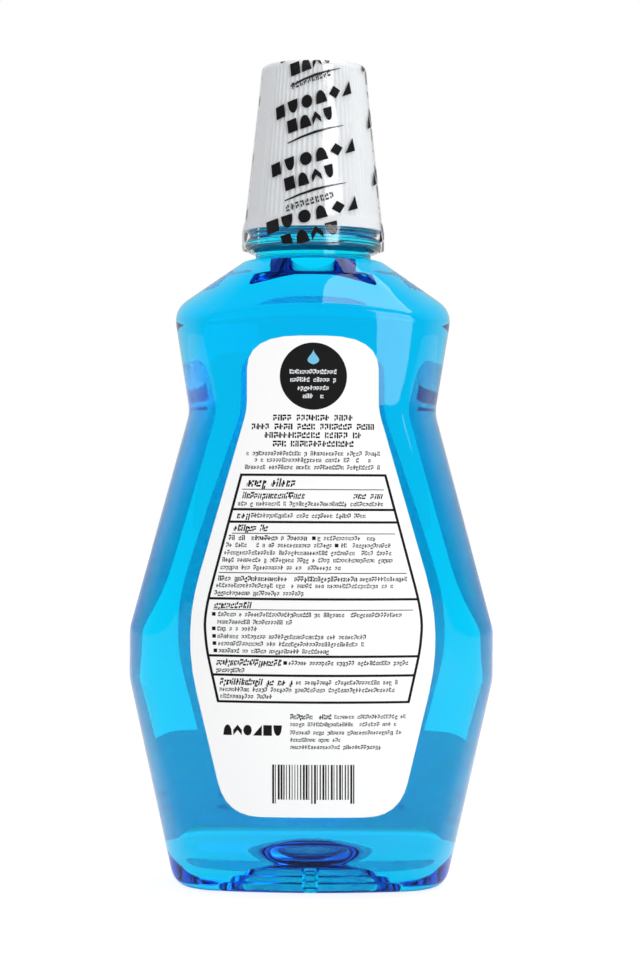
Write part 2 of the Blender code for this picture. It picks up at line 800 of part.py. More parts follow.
def front_corners():
    """The front label: the same above, on a banner that reaches nearly to the creases."""
    above = panel_edge(label_half_width(BANNER_TOP), BANNER_TOP, 0)[2:]
    banner_top = crease_half_width(BANNER_TOP) - BANNER_MARGIN
    return [
        (0, BANNER_FOOT, 0),
        (crease_half_width(BANNER_FOOT) - BANNER_MARGIN, BANNER_FOOT, BANNER_CORNER),
        (banner_top, BANNER_TOP, BANNER_NOTCH_CORNER),
        (label_half_width(BANNER_TOP), BANNER_TOP + BANNER_SLOPE, 0),
        *above,
    ]


def label_edge(corners):
    """Points of (half width, height) along a label's right edge, its corners rounded."""
    edge = []
    for before, here, after in zip(corners, corners[1:], corners[2:]):
        corner = np.array(here[:2])
        start = bend_end(corner, np.array(before[:2]), here[2])
        end = bend_end(corner, np.array(after[:2]), here[2])
        if edge:
            edge += [edge[-1] + (start - edge[-1]) * i / LABEL_STEPS for i in range(1, LABEL_STEPS)]
        steps = ROUND_STEPS if here[2] else 0
        edge += [bend_point(start, corner, end, i / ROUND_STEPS) for i in range(steps + 1)]
    return edge


def build_label(name, corners, facing, finish):
    """A label that follows the panel's cylinder, with a clear gap for its adhesive."""
    made = bmesh.new()
    radius = PANEL_RADIUS + CLEARANCE
    rows = []
    for half_width, height in label_edge(corners):
        row = []
        for i in range(LABEL_COLUMNS + 1):
            x = half_width * (2 * i / LABEL_COLUMNS - 1)
            y = HALF_DEPTH + CLEARANCE - arc_drop(x, radius)
            row.append(made.verts.new((-facing * x, facing * y, height)))
        rows.append(row)
    for low, high in zip(rows, rows[1:]):
        for i in range(LABEL_COLUMNS):
            made.faces.new((low[i], low[i + 1], high[i + 1], high[i]))
    item = add_object(name, mesh_from(name, made), finish)
    sheet = item.modifiers.new("Sheet", "SOLIDIFY")
    sheet.thickness = LABEL
    sheet.offset = 1
    return item


def main():
    clear_scene()
    build_bottle(material("clear_pet", (0.9, 0.97, 1.0), 0.05, alpha=0.35, transmission=1.0))
    build_mouthwash(material("blue_rinse", (0.0, 0.45, 0.85), 0.05, transmission=0.6))
    build_cap_shell(material("white_cap", (0.93, 0.94, 0.95), 0.35))
    build_dosing_cup(material("natural_cup", (0.85, 0.88, 0.9), 0.3))
    build_sealing_ring(material("grey_gasket", (0.75, 0.76, 0.76), 0.6))
    film = material("clear_film", (0.93, 0.95, 0.97), 0.1, alpha=0.35, transmission=0.8)
    build_neckband(film, film)
    paper = material("white_label", (0.95, 0.95, 0.95), 0.4)
    build_label("back_label", back_corners(), -1, paper)
    build_label("front_label", front_corners(), 1, paper)


main()
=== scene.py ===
"""The looks of a one litre bottle of blue mouthwash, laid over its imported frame.

Metres, +Z up, the back label facing -Y, as in the frame. A piece is a surface worked out on a grid
of two parameters, mostly turns round the axis by steps along an outline.
"""

import logging
import math
from collections.abc import Callable
from dataclasses import dataclass
from enum import Enum, IntEnum

import bpy
import numpy as np
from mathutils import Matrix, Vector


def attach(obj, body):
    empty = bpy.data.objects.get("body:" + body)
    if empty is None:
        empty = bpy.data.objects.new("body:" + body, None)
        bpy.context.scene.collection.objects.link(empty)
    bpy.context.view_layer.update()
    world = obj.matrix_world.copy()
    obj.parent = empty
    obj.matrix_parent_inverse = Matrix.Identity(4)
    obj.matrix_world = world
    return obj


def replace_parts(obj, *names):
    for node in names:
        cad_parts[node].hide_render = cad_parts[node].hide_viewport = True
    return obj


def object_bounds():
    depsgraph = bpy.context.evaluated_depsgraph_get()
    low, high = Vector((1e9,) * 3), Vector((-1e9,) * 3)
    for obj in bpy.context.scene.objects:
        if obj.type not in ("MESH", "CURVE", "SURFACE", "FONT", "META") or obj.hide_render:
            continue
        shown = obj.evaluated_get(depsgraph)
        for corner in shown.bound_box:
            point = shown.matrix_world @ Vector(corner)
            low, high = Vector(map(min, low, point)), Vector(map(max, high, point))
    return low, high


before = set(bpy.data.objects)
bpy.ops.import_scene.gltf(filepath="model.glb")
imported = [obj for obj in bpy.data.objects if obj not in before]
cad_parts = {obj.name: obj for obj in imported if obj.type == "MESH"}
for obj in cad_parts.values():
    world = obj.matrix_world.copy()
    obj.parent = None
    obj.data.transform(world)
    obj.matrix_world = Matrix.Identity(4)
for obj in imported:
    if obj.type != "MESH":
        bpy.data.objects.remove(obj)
CAD_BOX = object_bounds()

LOG = logging.getLogger("mouthwash_bottle")
MM = 0.001
CLEARANCE = 0.3 * MM
FULL_TURN = 2 * math.pi

Colour = tuple[float, float, float]
Corners = list[tuple[float, float, float]]
Inputs = dict[str | int, object]
Mapping = Callable[[np.ndarray, np.ndarray, float], np.ndarray]


class Body(Enum):
    """The bodies of the frame that pieces ride on."""

    BOTTLE = "bottle"
    CAP = "cap"
    NECKBAND = "neckband"
    TEAR_STRIP = "tear_strip"


class Slot(Enum):
    """The record's material slots, which each piece is given but doesn't use."""

    PET = "clear_pet"
    RINSE = "blue_rinse"
    CAP = "white_cap"
    CUP = "natural_cup"
    FILM = "clear_film"
    LABEL = "white_label"


class Shape(IntEnum):
    """The heavy plain shapes of the print, by their place in the table of curves."""

    DISC = 0
    DOME = 1
    PEAK = 2
    BOWL = 3
    ROOF = 4
    SLAB = 5
    RAMP = 6
    KITE = 7


# Node trees and finishes


def fill(tree: bpy.types.NodeTree, node: bpy.types.Node, inputs: Inputs) -> None:
    """Link each input that is given a socket, and set any other to its value.

    Args:
        tree: The node tree.
        node: The node whose inputs are filled.
        inputs: A value or a socket for each input, by its name or number.
    """
    for name, value in inputs.items():
        if isinstance(value, bpy.types.NodeSocket):
            tree.links.new(value, node.inputs[name])
        else:
            node.inputs[name].default_value = value


def add(
    tree: bpy.types.NodeTree, kind: str, inputs: Inputs, operation: str | None = None
) -> bpy.types.Node:
    """Add a shader node with its inputs filled.

    Args:
        tree: The node tree to add to.
        kind: The node's type, without the beginning that all shader nodes share.
        inputs: A value or a socket for each input, by its name or number.
        operation: What a mathematical node works out, or None for other nodes.

    Returns:
        The new node.
    """
    node = tree.nodes.new("ShaderNode" + kind)
    if operation:
        node.operation = operation
    fill(tree, node, inputs)
    return node


def grey(level: float) -> tuple[float, float, float, float]:
    """A grey of one level, as a socket takes it."""
    return level, level, level, 1.0


@dataclass(frozen=True)
class Finish:
    """A Principled finish whose tone, gloss and relief vary with noise on Object coordinates.

    grain is in features a metre and detail in octaves, relief and scatter are in metres, and mottle
    and gloss_spread are shares.
    """

    name: str
    colour: Colour
    roughness: float
    ior: float = 1.5
    transmission: float = 0.0
    subsurface: float = 0.0
    grain: float = 600.0
    mottle: float = 0.03
    gloss_spread: float = 0.04
    relief: float = 0.004 * MM
    detail: float = 3.0
    scatter: float = 1.5 * MM

    def material(self) -> bpy.types.Material:
        """The finish's material, which is made the first time."""
        return bpy.data.materials.get(self.name) or self.build()

    def build(self) -> bpy.types.Material:
        """Make the material.

        Returns:
            The new material, its noise linked to colour, roughness and normal.
        """
        made = bpy.data.materials.new(self.name)
        made.use_nodes = True
        made.diffuse_color = (*self.colour, 1.0)
        tree = made.node_tree
        place = add(tree, "TexCoord", {})
        spots = {"Scale": self.grain, "Detail": self.detail, "Vector": place.outputs["Object"]}
        noise = add(tree, "TexNoise", spots).outputs[0]
        tone = add(tree, "ValToRGB", {"Fac": noise})
        for element, share in zip(tone.color_ramp.elements, (1 - self.mottle, 1.0)):
            element.color = (*(c * share for c in self.colour), 1.0)
        dull = self.roughness + self.gloss_spread
        gloss = add(tree, "MapRange", {"To Min": self.roughness, "To Max": dull, "Value": noise})
        bump = add(tree, "Bump", {"Distance": self.relief, "Height": noise})
        fill(tree, tree.nodes["Principled BSDF"], {
            "IOR": self.ior,
            "Transmission Weight": self.transmission,
            "Subsurface Weight": self.subsurface,
            "Subsurface Scale": self.scatter,
            "Base Color": tone.outputs["Color"],
            "Roughness": gloss.outputs["Result"],
            "Normal": bump.outputs["Normal"],
        })
        return made


@dataclass(frozen=True)
class Glaze(Finish):
    """A clear film: what lies under it shows through, and it mirrors more the more it is grazed.

    haze and rim are the shares of it that mirror when it is seen square on and edge on. Between
    them the share grows with one less the cosine, raised to the falloff.
    """

    haze: float = 0.05
    rim: float = 0.6
    falloff: float = 5.0

    def build(self) -> bpy.types.Material:
        """Make the film's material: a white mirror by its share, and clear for the rest.

        Returns:
            The new material.
        """
        made = super().build()
        tree = made.node_tree
        facing = add(tree, "LayerWeight", {"Blend": 0.5}).outputs["Facing"]
        power = add(tree, "Math", {0: facing, 1: self.falloff}, "POWER").outputs["Value"]
        cover = add(tree, "MapRange", {"To Min": self.haze, "To Max": self.rim, "Value": power})
        mirror = {"Metallic": 1.0, "Alpha": cover.outputs["Result"]}
        fill(tree, tree.nodes["Principled BSDF"], mirror)
        return made


@dataclass(frozen=True)
class Dye(Finish):
    """A dyed liquid: clear at its skin, with absorption per metre inside it."""

    absorption: Colour = (260.0, 11.0, 2.0)

    def build(self) -> bpy.types.Material:
        """Make the liquid's material.

        The density is the largest absorption, and the colour's share of it isn't absorbed.

        Returns:
            The new material.
        """
        made = super().build()
        tree, density = made.node_tree, max(self.absorption)
        kept = (*(1 - a / density for a in self.absorption), 1.0)
        depth = add(tree, "VolumeAbsorption", {"Density": density, "Color": kept})
        fill(tree, tree.nodes["Material Output"], {"Volume": depth.outputs["Volume"]})
        return made


WET_PET = Finish("wet_pet", (1.0, 1.0, 1.0), 0.0, 1.36, 1.0, 0.0, 45.0, 0.0, 0.01, 0.05 * MM)
PET_INSIDE = Finish("wetted_pet", (1.0, 1.0, 1.0), 0.0, 1.001, 1.0, 0.0, 45.0, 0.0, 0.0, 0.0)
DRY_PET = Finish("dry_pet", (0.96, 0.985, 1.0), 0.0, 1.57, 1.0, 0.0, 60.0, 0.0, 0.02, 0.03 * MM)
RINSE = Dye("dyed_rinse", (1.0, 1.0, 1.0), 0.0, 1.001, 1.0, 0.0, 60.0, 0.0, 0.0, 0.0)
WHITE_PP = Finish("cap_plastic", (0.86, 0.88, 0.9), 0.32, 1.49, 0.1, 0.08, 900.0, 0.02)
NATURAL_PP = Finish("cup_plastic", (0.86, 0.89, 0.9), 0.22, 1.49, 0.55, 0.0, 500.0, 0.03)
RUBBER = Finish("gasket_rubber", (0.45, 0.46, 0.46), 0.55, 1.5, 0.0, 0.0, 1500.0, 0.12)
FILM = Glaze("shrink_film", (0.95, 0.96, 0.97), 0.1, 1.5, 0.0, 0.0, 140.0, 0.02, 0.1, 0.04 * MM)
PAPER = Finish("label_paper", (0.9, 0.9, 0.9), 0.3, 1.5, 0.0, 0.0, 1800.0, 0.015, 0.08)
THIN_PAPER = Finish("thin_label_film", (0.97, 0.97, 0.97), 0.6, 1.3, 0.6, 1.0, 1800.0, 0.01, 0.08)
BLACK_INK = Finish("black_ink", (0.011, 0.01, 0.011), 0.5, 1.2, 0.0, 0.0, 2500.0, 0.4, 0.1)
GREY_INK = Finish("grey_ink", (0.04, 0.04, 0.042), 0.5, 1.2, 0.0, 0.0, 2500.0, 0.35, 0.1)
PALE_INK = Finish("pale_ink", (0.75, 0.78, 0.8), 0.4, 1.5, 0.0, 0.0, 2500.0, 0.05, 0.1)
SKY_INK = Finish("sky_ink", (0.16, 0.5, 0.75), 0.4, 1.5, 0.0, 0.0, 2500.0, 0.08, 0.1)
NAVY_INK = Finish("navy_ink", (0.01, 0.06, 0.24), 0.35, 1.5, 0.0, 0.0, 2500.0, 0.1, 0.1)


# Grids and lofts


@dataclass(frozen=True)
class Station:
    """A ring of points where a loft bends, or ends.

    front and side are how far the bend's rounding reaches in front and at the sides, and spacing is
    how far apart the rows before it may lie.
    """

    ring: np.ndarray
    front: float = 0.0
    side: float | None = None
    spacing: float = 4 * MM

    def reach(self, share: np.ndarray | float) -> np.ndarray | float:
        """The reach at a share of the way from the front's to the side's."""
        side = self.front if self.side is None else self.side
        return self.front + (side - self.front) * share


def smooth(share: np.ndarray) -> np.ndarray:
    """Ease from 0 to 1 with level ends, as three squares less two cubes."""
    held = np.clip(share, 0, 1)
    return held * held * (3 - 2 * held)


def straight(start: np.ndarray, end: np.ndarray, spacing: float) -> list[np.ndarray]:
    """The rows between two, evenly spread, no further apart than a spacing."""
    count = math.ceil(float(np.abs(end - start).max()) / spacing)
    return [start + (end - start) * i / count for i in range(1, count)]


def loft(stations: list[Station], share: np.ndarray | float = 0.0) -> np.ndarray:
    """Rows of points through stations, each bend rounded as a parabola.

    The parabola leaves each straight at the bend's reach from its corner, or at 45% of a short
    straight: with both legs cut at a share s, its point lies at s between the two cuts.

    Args:
        stations: The rings to go through, which all have the same points.
        share: 0 where a bend has its front reach, 1 where it has its side reach.

    Returns:
        The rows, as an array of (row, point, coordinate).
    """
    most, steps = 0.45, 7
    rows = [stations[0].ring]
    for before, here, after in zip(stations, stations[1:], stations[2:]):
        if not here.front:
            rows += straight(rows[-1], here.ring, here.spacing) + [here.ring]
            continue
        ends = []
        for other in (before.ring, after.ring):
            length = np.linalg.norm(other - here.ring, axis=-1, keepdims=True)
            cut = np.minimum(most, here.reach(share) / length)
            ends.append(here.ring + (other - here.ring) * cut)
        rows += straight(rows[-1], ends[0], here.spacing)
        for s in np.linspace(0, 1, steps):
            first = ends[0] + (here.ring - ends[0]) * s
            second = here.ring + (ends[1] - here.ring) * s
            rows.append(first + (second - first) * s)
    last = stations[-1]
    return np.array(rows + straight(rows[-1], last.ring, last.spacing) + [last.ring])


def outline(corners: Corners, spacing: float = 3 * MM) -> np.ndarray:
    """A line of (radius, height) points through corners of (radius, height, rounding reach)."""
    return loft([Station(np.array([c[:2]]), c[2], spacing=spacing) for c in corners])[:, 0]


def turned(line: np.ndarray, turns: np.ndarray) -> np.ndarray:
    """Carry an outline round the axis.

    A point is (radius sin turn, -radius cos turn, height), so turn 0 faces the camera and turns
    grow towards +X.

    Args:
        line: The (radius, height) points, as (row, 2), or (row, turn, 2) where they vary round.
        turns: The turns from the front.

    Returns:
        The points, as (row, turn, coordinate).
    """
    line = line[:, None] if line.ndim == 2 else line
    radius, height = line[..., 0], line[..., 1] + 0 * turns
    return np.stack((radius * np.sin(turns), -radius * np.cos(turns), height), axis=-1)


def even_turns(count: int) -> np.ndarray:
    """Turns from the front, evenly spread over one round."""
    return np.arange(count) * FULL_TURN / count


def grid_quads(rows: int, columns: int, closed: bool) -> np.ndarray:
    """The faces of a grid whose points are counted row by row, closed round or not.

    Args:
        rows: The number of rows.
        columns: The number of points in a row.
        closed: Whether a row's last point joins its first.

    Returns:
        The faces, as (face, 4) numbers of points.
    """
    down = np.arange(rows - 1)[:, None] * columns
    here = np.arange(columns if closed else columns - 1)
    beside = (here + 1) % columns
    faces = (down + here, down + beside, down + columns + beside, down + columns + here)
    return np.stack(faces, axis=-1).reshape(-1, 4)


def normals(rows: np.ndarray) -> np.ndarray:
    """The unit normal at each point of a skin closed round, across its two differences.

    Args:
        rows: The points, as (row, turn, coordinate).

    Returns:
        The normals, which point outwards where the rows climb and turn towards +X.
    """
    around = np.roll(rows, -1, axis=1) - np.roll(rows, 1, axis=1)
    across = np.cross(around, np.gradient(rows, axis=0))
    return across / np.linalg.norm(across, axis=-1, keepdims=True)


@dataclass
class Surface:
    """The points and faces of a piece, its faces in blocks of one kind."""

    points: np.ndarray
    faces: list[np.ndarray]

    @classmethod
    def skin(cls, rows: np.ndarray, start: float, end: float) -> "Surface":
        """A skin closed round, and at both ends by a point on the axis.

        Args:
            rows: The points, as (row, turn, coordinate).
            start: The height of the point before the first row.
            end: The height of the point after the last row.

        Returns:
            The surface, its grid's faces first, then those at the start and at the end.
        """
        count, columns = rows.shape[:2]
        poles = np.array(((0, 0, start), (0, 0, end)))
        here = np.arange(columns)
        beside = (here + 1) % columns
        first = np.full(columns, count * columns)
        last = (count - 1) * columns
        blocks = [
            grid_quads(count, columns, True),
            np.column_stack((first, beside, here)),
            np.column_stack((last + here, last + beside, first + 1)),
        ]
        return cls(np.concatenate((rows.reshape(-1, 3), poles)), blocks)

    @classmethod
    def slab(cls, front: np.ndarray, back: np.ndarray) -> "Surface":
        """A sheet between two grids of the same points, closed along its edge.

        Args:
            front: The outer points, as (row, column, coordinate).
            back: The inner points.

        Returns:
            The closed surface.
        """
        rows, columns = front.shape[:2]
        outer = grid_quads(rows, columns, False)
        index = np.arange(rows * columns).reshape(rows, columns)
        edge = np.concatenate((index[0], index[1:, -1], index[-1, -2::-1], index[-2:0:-1, 0]))
        after, far = np.roll(edge, -1), rows * columns
        rim = np.column_stack((edge, edge + far, after + far, after))
        points = np.concatenate((front.reshape(-1, 3), back.reshape(-1, 3)))
        return cls(points, [outer, outer[:, ::-1] + far, rim])

    @classmethod
    def patches(cls, curves: np.ndarray, lay: Mapping, foot: float, top: float) -> "Surface":
        """Thin closed patches of ink, each between a lower and an upper curve.

        Args:
            curves: The curves' (across, up) points, as (patch, curve, point, 2).
            lay: Puts (across, up) on a surface, at a distance over it.
            foot: The distance of the patches' underside.
            top: The distance of their face.

        Returns:
            The closed surfaces, as one.
        """
        across, up = curves[..., 0], curves[..., 1]
        layers = np.stack((lay(across, up, foot), lay(across, up, top)), axis=1)
        count, _, _, columns, _ = layers.shape
        index = np.arange(4 * columns).reshape(2, 2, columns)
        under, over = index
        here, beside = slice(0, -1), slice(1, None)
        sides = [
            (over[0][here], over[0][beside], over[1][beside], over[1][here]),
            (under[0][here], under[1][here], under[1][beside], under[0][beside]),
            (over[0][here], under[0][here], under[0][beside], over[0][beside]),
            (over[1][beside], under[1][beside], under[1][here], over[1][here]),
            (over[0][-1:], under[0][-1:], under[1][-1:], over[1][-1:]),
            (over[1][:1], under[1][:1], under[0][:1], over[0][:1]),
        ]
        one = np.concatenate([np.column_stack(side) for side in sides])
        faces = (one + np.arange(count)[:, None, None] * index.size).reshape(-1, 4)
        return cls(layers.reshape(-1, 3), [faces])

    @classmethod
    def joined(cls, parts: list["Surface"]) -> "Surface":
        """Several surfaces as one.

        Args:
            parts: The surfaces.

        Returns:
            The surface of all their points and faces.
        """
        starts = np.cumsum([0] + [len(part.points) for part in parts])
        blocks = [block + start for part, start in zip(parts, starts) for block in part.faces]
        return cls(np.concatenate([part.points for part in parts]), blocks)

    def piece(
        self, name: str, body: Body, slot: Slot, finishes: list[Finish],
        choice: np.ndarray | None = None, sharp: float = 35.0,
    ) -> bpy.types.Object:
        """Put the surface in the scene as a piece that rides on a body.

        Args:
            name: The piece's name.
            body: The body that carries it.
            slot: The record's slot; not used.
            finishes: Its finishes.
            choice: The number of each face's finish, or None where it has one.
            sharp: The bend in degrees over which an edge stays sharp.

        Returns:
            The new object.
        """
        mesh = bpy.data.meshes.new(name)
        faces = [face for block in self.faces for face in block.tolist()]
        mesh.from_pydata(self.points.tolist(), [], faces)
        for finish in finishes:
            mesh.materials.append(finish.material())
        if choice is not None:
            mesh.polygons.foreach_set("material_index", choice.astype(np.int32))
        mesh.update()
        mesh.shade_smooth()
        mesh.set_sharp_from_angle(angle=math.radians(sharp))
        item = bpy.data.objects.new(name, mesh)
        bpy.context.scene.collection.objects.link(item)
        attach(item, body.value)
        LOG.info("%s: %d faces on %s", name, len(faces), body.value)
        return item


@dataclass(frozen=True)
class Thread:
    """A right-hand thread ridge, which climbs by its lead from its start for some turns."""

    start: float
    turns: float
    depth: float
    lead: float = 4.23 * MM
    root: float = 2.3 * MM
    crest: float = 1 * MM
    runout: float = 0.12

    def rise(self, rows: np.ndarray) -> np.ndarray:
        """How far the ridge stands over its root at each point.

        On each lap its middle is at the start plus the lead times the turns so far. It is full
        within half the crest of that, fades out at half the root, and fades at both its ends.

        Args:
            rows: Points on the root, as (row, turn, coordinate).

        Returns:
            The height over the root at each point.
        """
        turn = np.mod(np.arctan2(rows[..., 1], rows[..., 0]) / FULL_TURN, 1)
        rise = np.zeros(turn.shape)
        for lap in range(math.ceil(self.turns)):
            along = turn + lap
            off = np.abs(rows[..., 2] - self.start - along * self.lead)
            flank = (self.root / 2 - off) / (self.root / 2 - self.crest / 2)
            end = np.minimum(along, self.turns - along) / (self.runout * self.turns)
            rise = np.maximum(rise, smooth(flank) * np.clip(end, 0, 1))
        return rise * self.depth


# Bottle and rinse


@dataclass(frozen=True)
class Bottle:
    """The blow-moulded bottle: lofted body, stepped push-up base, and neck with its thread."""

    foot_half_width: float = 43 * MM
    belly_half_width: float = 57.45 * MM
    waist_half_width: float = 38.8 * MM
    shoulder_half_width: float = 44 * MM
    lower_rise: float = 65 * MM
    belly_rise: float = 15.6 * MM
    taper_rise: float = 68.3 * MM
    chest_rise: float = 32.3 * MM
    shoulder_rise: float = 15.1 * MM
    half_depth: float = 34 * MM
    panel_radius: float = 120 * MM
    panel_corner: float = 4 * MM
    foot_crown: float = 10.5 * MM
    belly_crown: float = 7.6 * MM
    waist_crown: float = 8.8 * MM
    shoulder_crown: float = 10 * MM
    arch_rise: float = 3.2 * MM
    arch_drop: float = 0.4 * MM
    facet_rise: float = 10.1 * MM
    facet_half_width: float = 17.5 * MM
    facet_inset: float = 10 * MM
    facet_corner: float = 2 * MM
    heel_bend: float = 5.5 * MM
    heel_top_bend: float = 3 * MM
    heel_rise: float = 12.8 * MM
    foot_depth_share: float = 0.66
    belly_bend: float = 1.8 * MM
    waist_bend: float = 2.7 * MM
    shoulder_bend: float = 5.2 * MM
    crease_bend: float = 1.2 * MM
    facet_bend: float = 0.8 * MM
    foot_band: float = 3.5 * MM
    steps: int = 4
    step_run: float = 4.4 * MM
    step_slope: float = 1.6 * MM
    step_rise: float = 3 * MM
    step_bend: float = 0.6 * MM
    dome_rise: float = 3.5 * MM
    notch_half_width: float = 1.7 * MM
    notch_height: float = 10 * MM
    notch_depth: float = 1.8 * MM
    notch_foot_depth: float = 3.7 * MM
    wall: float = 0.5 * MM
    bore: float = 16 * MM
    neck_wall: float = 1.5 * MM
    collar_proud: float = 3.9 * MM
    collar_rise: float = 1 * MM
    neck_stem: float = 0.7 * MM
    stem_rise: float = 1.6 * MM
    bead_proud: float = 3.3 * MM
    bead_rise: float = 5.4 * MM
    flange_gap: float = 0.4 * MM
    flange_proud: float = 2 * MM
    flange_rise: float = 1.1 * MM
    finish_height: float = 11 * MM
    thread_start: float = 2.2 * MM
    thread_turns: float = 1.5
    thread_depth: float = 1.2 * MM
    headspace: float = 8.5 * MM
    collar_bend: float = 0.3 * MM
    stem_bend: float = 0.4 * MM
    bore_bend: float = 1 * MM
    lip_bend: float = 0.3 * MM
    bead_steps: int = 16
    side_from: float = 0.75

    @property
    def belly(self) -> float:
        """Height of the belly's upper bend."""
        return self.lower_rise + self.belly_rise

    @property
    def waist(self) -> float:
        """Height of the waist."""
        return self.belly + self.taper_rise

    @property
    def shoulder(self) -> float:
        """Height of the shoulder's edge at the sides."""
        return self.waist + self.chest_rise

    @property
    def collar(self) -> float:
        """Height of the collar's edge, at the top of the shoulder."""
        return self.shoulder + self.shoulder_rise

    @property
    def bead(self) -> float:
        """Height of the foot of the bead under the cap."""
        return self.collar + self.collar_rise + self.stem_rise

    @property
    def finish(self) -> float:
        """Height of the top of the flange, from which the cap hangs."""
        return self.bead + self.bead_rise + self.flange_gap + self.flange_rise

    @property
    def land(self) -> float:
        """Height of the neck's sealing land."""
        return self.finish + self.finish_height

    @property
    def level(self) -> float:
        """Height of the rinse in the neck."""
        return self.land - self.headspace

    @property
    def root(self) -> float:
        """Outer radius of the neck under its thread."""
        return self.bore + self.neck_wall

    @property
    def stem(self) -> float:
        """Outer radius of the neck under the bead."""
        return self.root + self.neck_stem

    def shares(self) -> tuple[np.ndarray, np.ndarray, np.ndarray]:
        """How the columns spread over a quarter section: the front, its crease and the side.

        Returns:
            The shares along each of the three.
        """
        near, near_steps, front_steps, crease_steps, side_steps = 0.12, 8, 19, 6, 14
        middle = np.linspace(0, near, near_steps + 1)
        front = np.concatenate((middle, np.linspace(near, 1, front_steps + 1)[1:]))
        crease = np.linspace(0, 1, crease_steps + 1)[1:-1]
        return front, crease, np.linspace(0, 1, side_steps + 1)

    def quarter(
        self, half_width: float, inset: float, crown: float, corner: float, flat: bool = False
    ) -> np.ndarray:
        """A quarter section from the middle of the front round to the middle of the side.

        The front is an arc of the panel's radius, or a flat. The side is the arc through its ends
        that stands out by the crown. The crease between them is a parabola.

        Args:
            half_width: Its reach to the side.
            inset: How far it is drawn in from the body's half depth.
            crown: How far the side stands out from the crease.
            corner: The crease's reach along the front and the side.
            flat: Whether the front is a flat.

        Returns:
            The (x, y) points.
        """
        front, crease, side = self.shares()
        depth, edge = self.half_depth - inset, half_width - crown

        def on_front(x: np.ndarray) -> np.ndarray:
            """The front's point at each x."""
            drop = 0 * x if flat else self.panel_radius - np.sqrt(self.panel_radius**2 - x * x)
            return np.stack((x, drop - depth), axis=-1)

        reach = -float(on_front(np.array(edge))[1])
        radius = (reach * reach + crown * crown) / (2 * crown)

        def on_side(y: np.ndarray) -> np.ndarray:
            """The side's point at each y."""
            return np.stack((half_width - radius + np.sqrt(radius**2 - y * y), -y), axis=-1)

        fronts = on_front((edge - corner) * front)
        sides = on_side((reach - corner) * (1 - side))
        s = crease[:, None]
        tip = on_front(np.array(edge))
        first, second = fronts[-1] + (tip - fronts[-1]) * s, tip + (sides[0] - tip) * s
        return np.concatenate((fronts, first + (second - first) * s, sides))

    def round_quarter(self, radius: float) -> np.ndarray:
        """A quarter circle whose columns follow the body's: 4 parts front, 3 crease and 3 side.

        Args:
            radius: Its radius.

        Returns:
            The (x, y) points.
        """
        front, crease, side = self.shares()
        fore, bend, flank = 4, 3, 3
        parts = (fore * front, fore + bend * crease, fore + bend + flank * side)
        turns = np.concatenate(parts) / (fore + bend + flank) * math.pi / 2
        return radius * np.column_stack((np.sin(turns), -np.cos(turns)))

    def ring(
        self, quarter: np.ndarray, height: float, dip: float = 0.0, side: float = 0.0
    ) -> np.ndarray:
        """Mirror a quarter section into a ring.

        The height falls with the square of the way to the crease, from the front's and from the
        side's, so a panel's upper edge is an arch.

        Args:
            quarter: The quarter section's (x, y) points.
            height: The height at the middle of the front.
            dip: How far the crease lies below it.
            side: How far the middle of the side lies above it.

        Returns:
            The ring's points, counted round from the front towards +X.
        """
        x, y = quarter.T
        crease = int(np.argmax(x / x.max() + y / y.min()))
        front = height - dip * (x / x[crease]) ** 2
        flank = height + side - (dip + side) * (y / y[crease]) ** 2
        heights = np.where(np.arange(len(x)) <= crease, front, flank)
        right = np.column_stack((x, y, heights))
        back, left = right[-2::-1] * (1, -1, 1), right[1:] * (-1, -1, 1)
        return np.concatenate((right, back, left, right[-2:0:-1] * (-1, 1, 1)))

    def foot_ring(self, inset: float, height: float) -> np.ndarray:
        """The foot's section drawn in by an inset, at a height.

        Args:
            inset: How far it is drawn in at the sides, and in front by the foot's share of that.
            height: Its height.

        Returns:
            The ring's points.
        """
        share = (self.half_depth - inset) / self.half_depth * self.foot_depth_share
        drawn, crown = self.half_depth * (1 - share), self.foot_crown * share
        quarter = self.quarter(self.foot_half_width - inset, drawn, crown, self.panel_corner)
        return self.ring(quarter, height)

    def panel_ring(
        self, half_width: float, crown: float, height: float, dip: float = 0.0, side: float = 0.0
    ) -> np.ndarray:
        """The ring of a quarter section that has the whole depth and the panel's corners."""
        return self.ring(self.quarter(half_width, 0, crown, self.panel_corner), height, dip, side)

    def heel_ring(self) -> np.ndarray:
        """The section at the top of the heel, on the side's straight line from foot to belly.

        Returns:
            The ring's points.
        """
        share = self.heel_rise / self.lower_rise
        half_width = self.foot_half_width + (self.belly_half_width - self.foot_half_width) * share
        crown = self.foot_crown + (self.belly_crown - self.foot_crown) * share
        return self.panel_ring(half_width, crown, self.heel_rise)

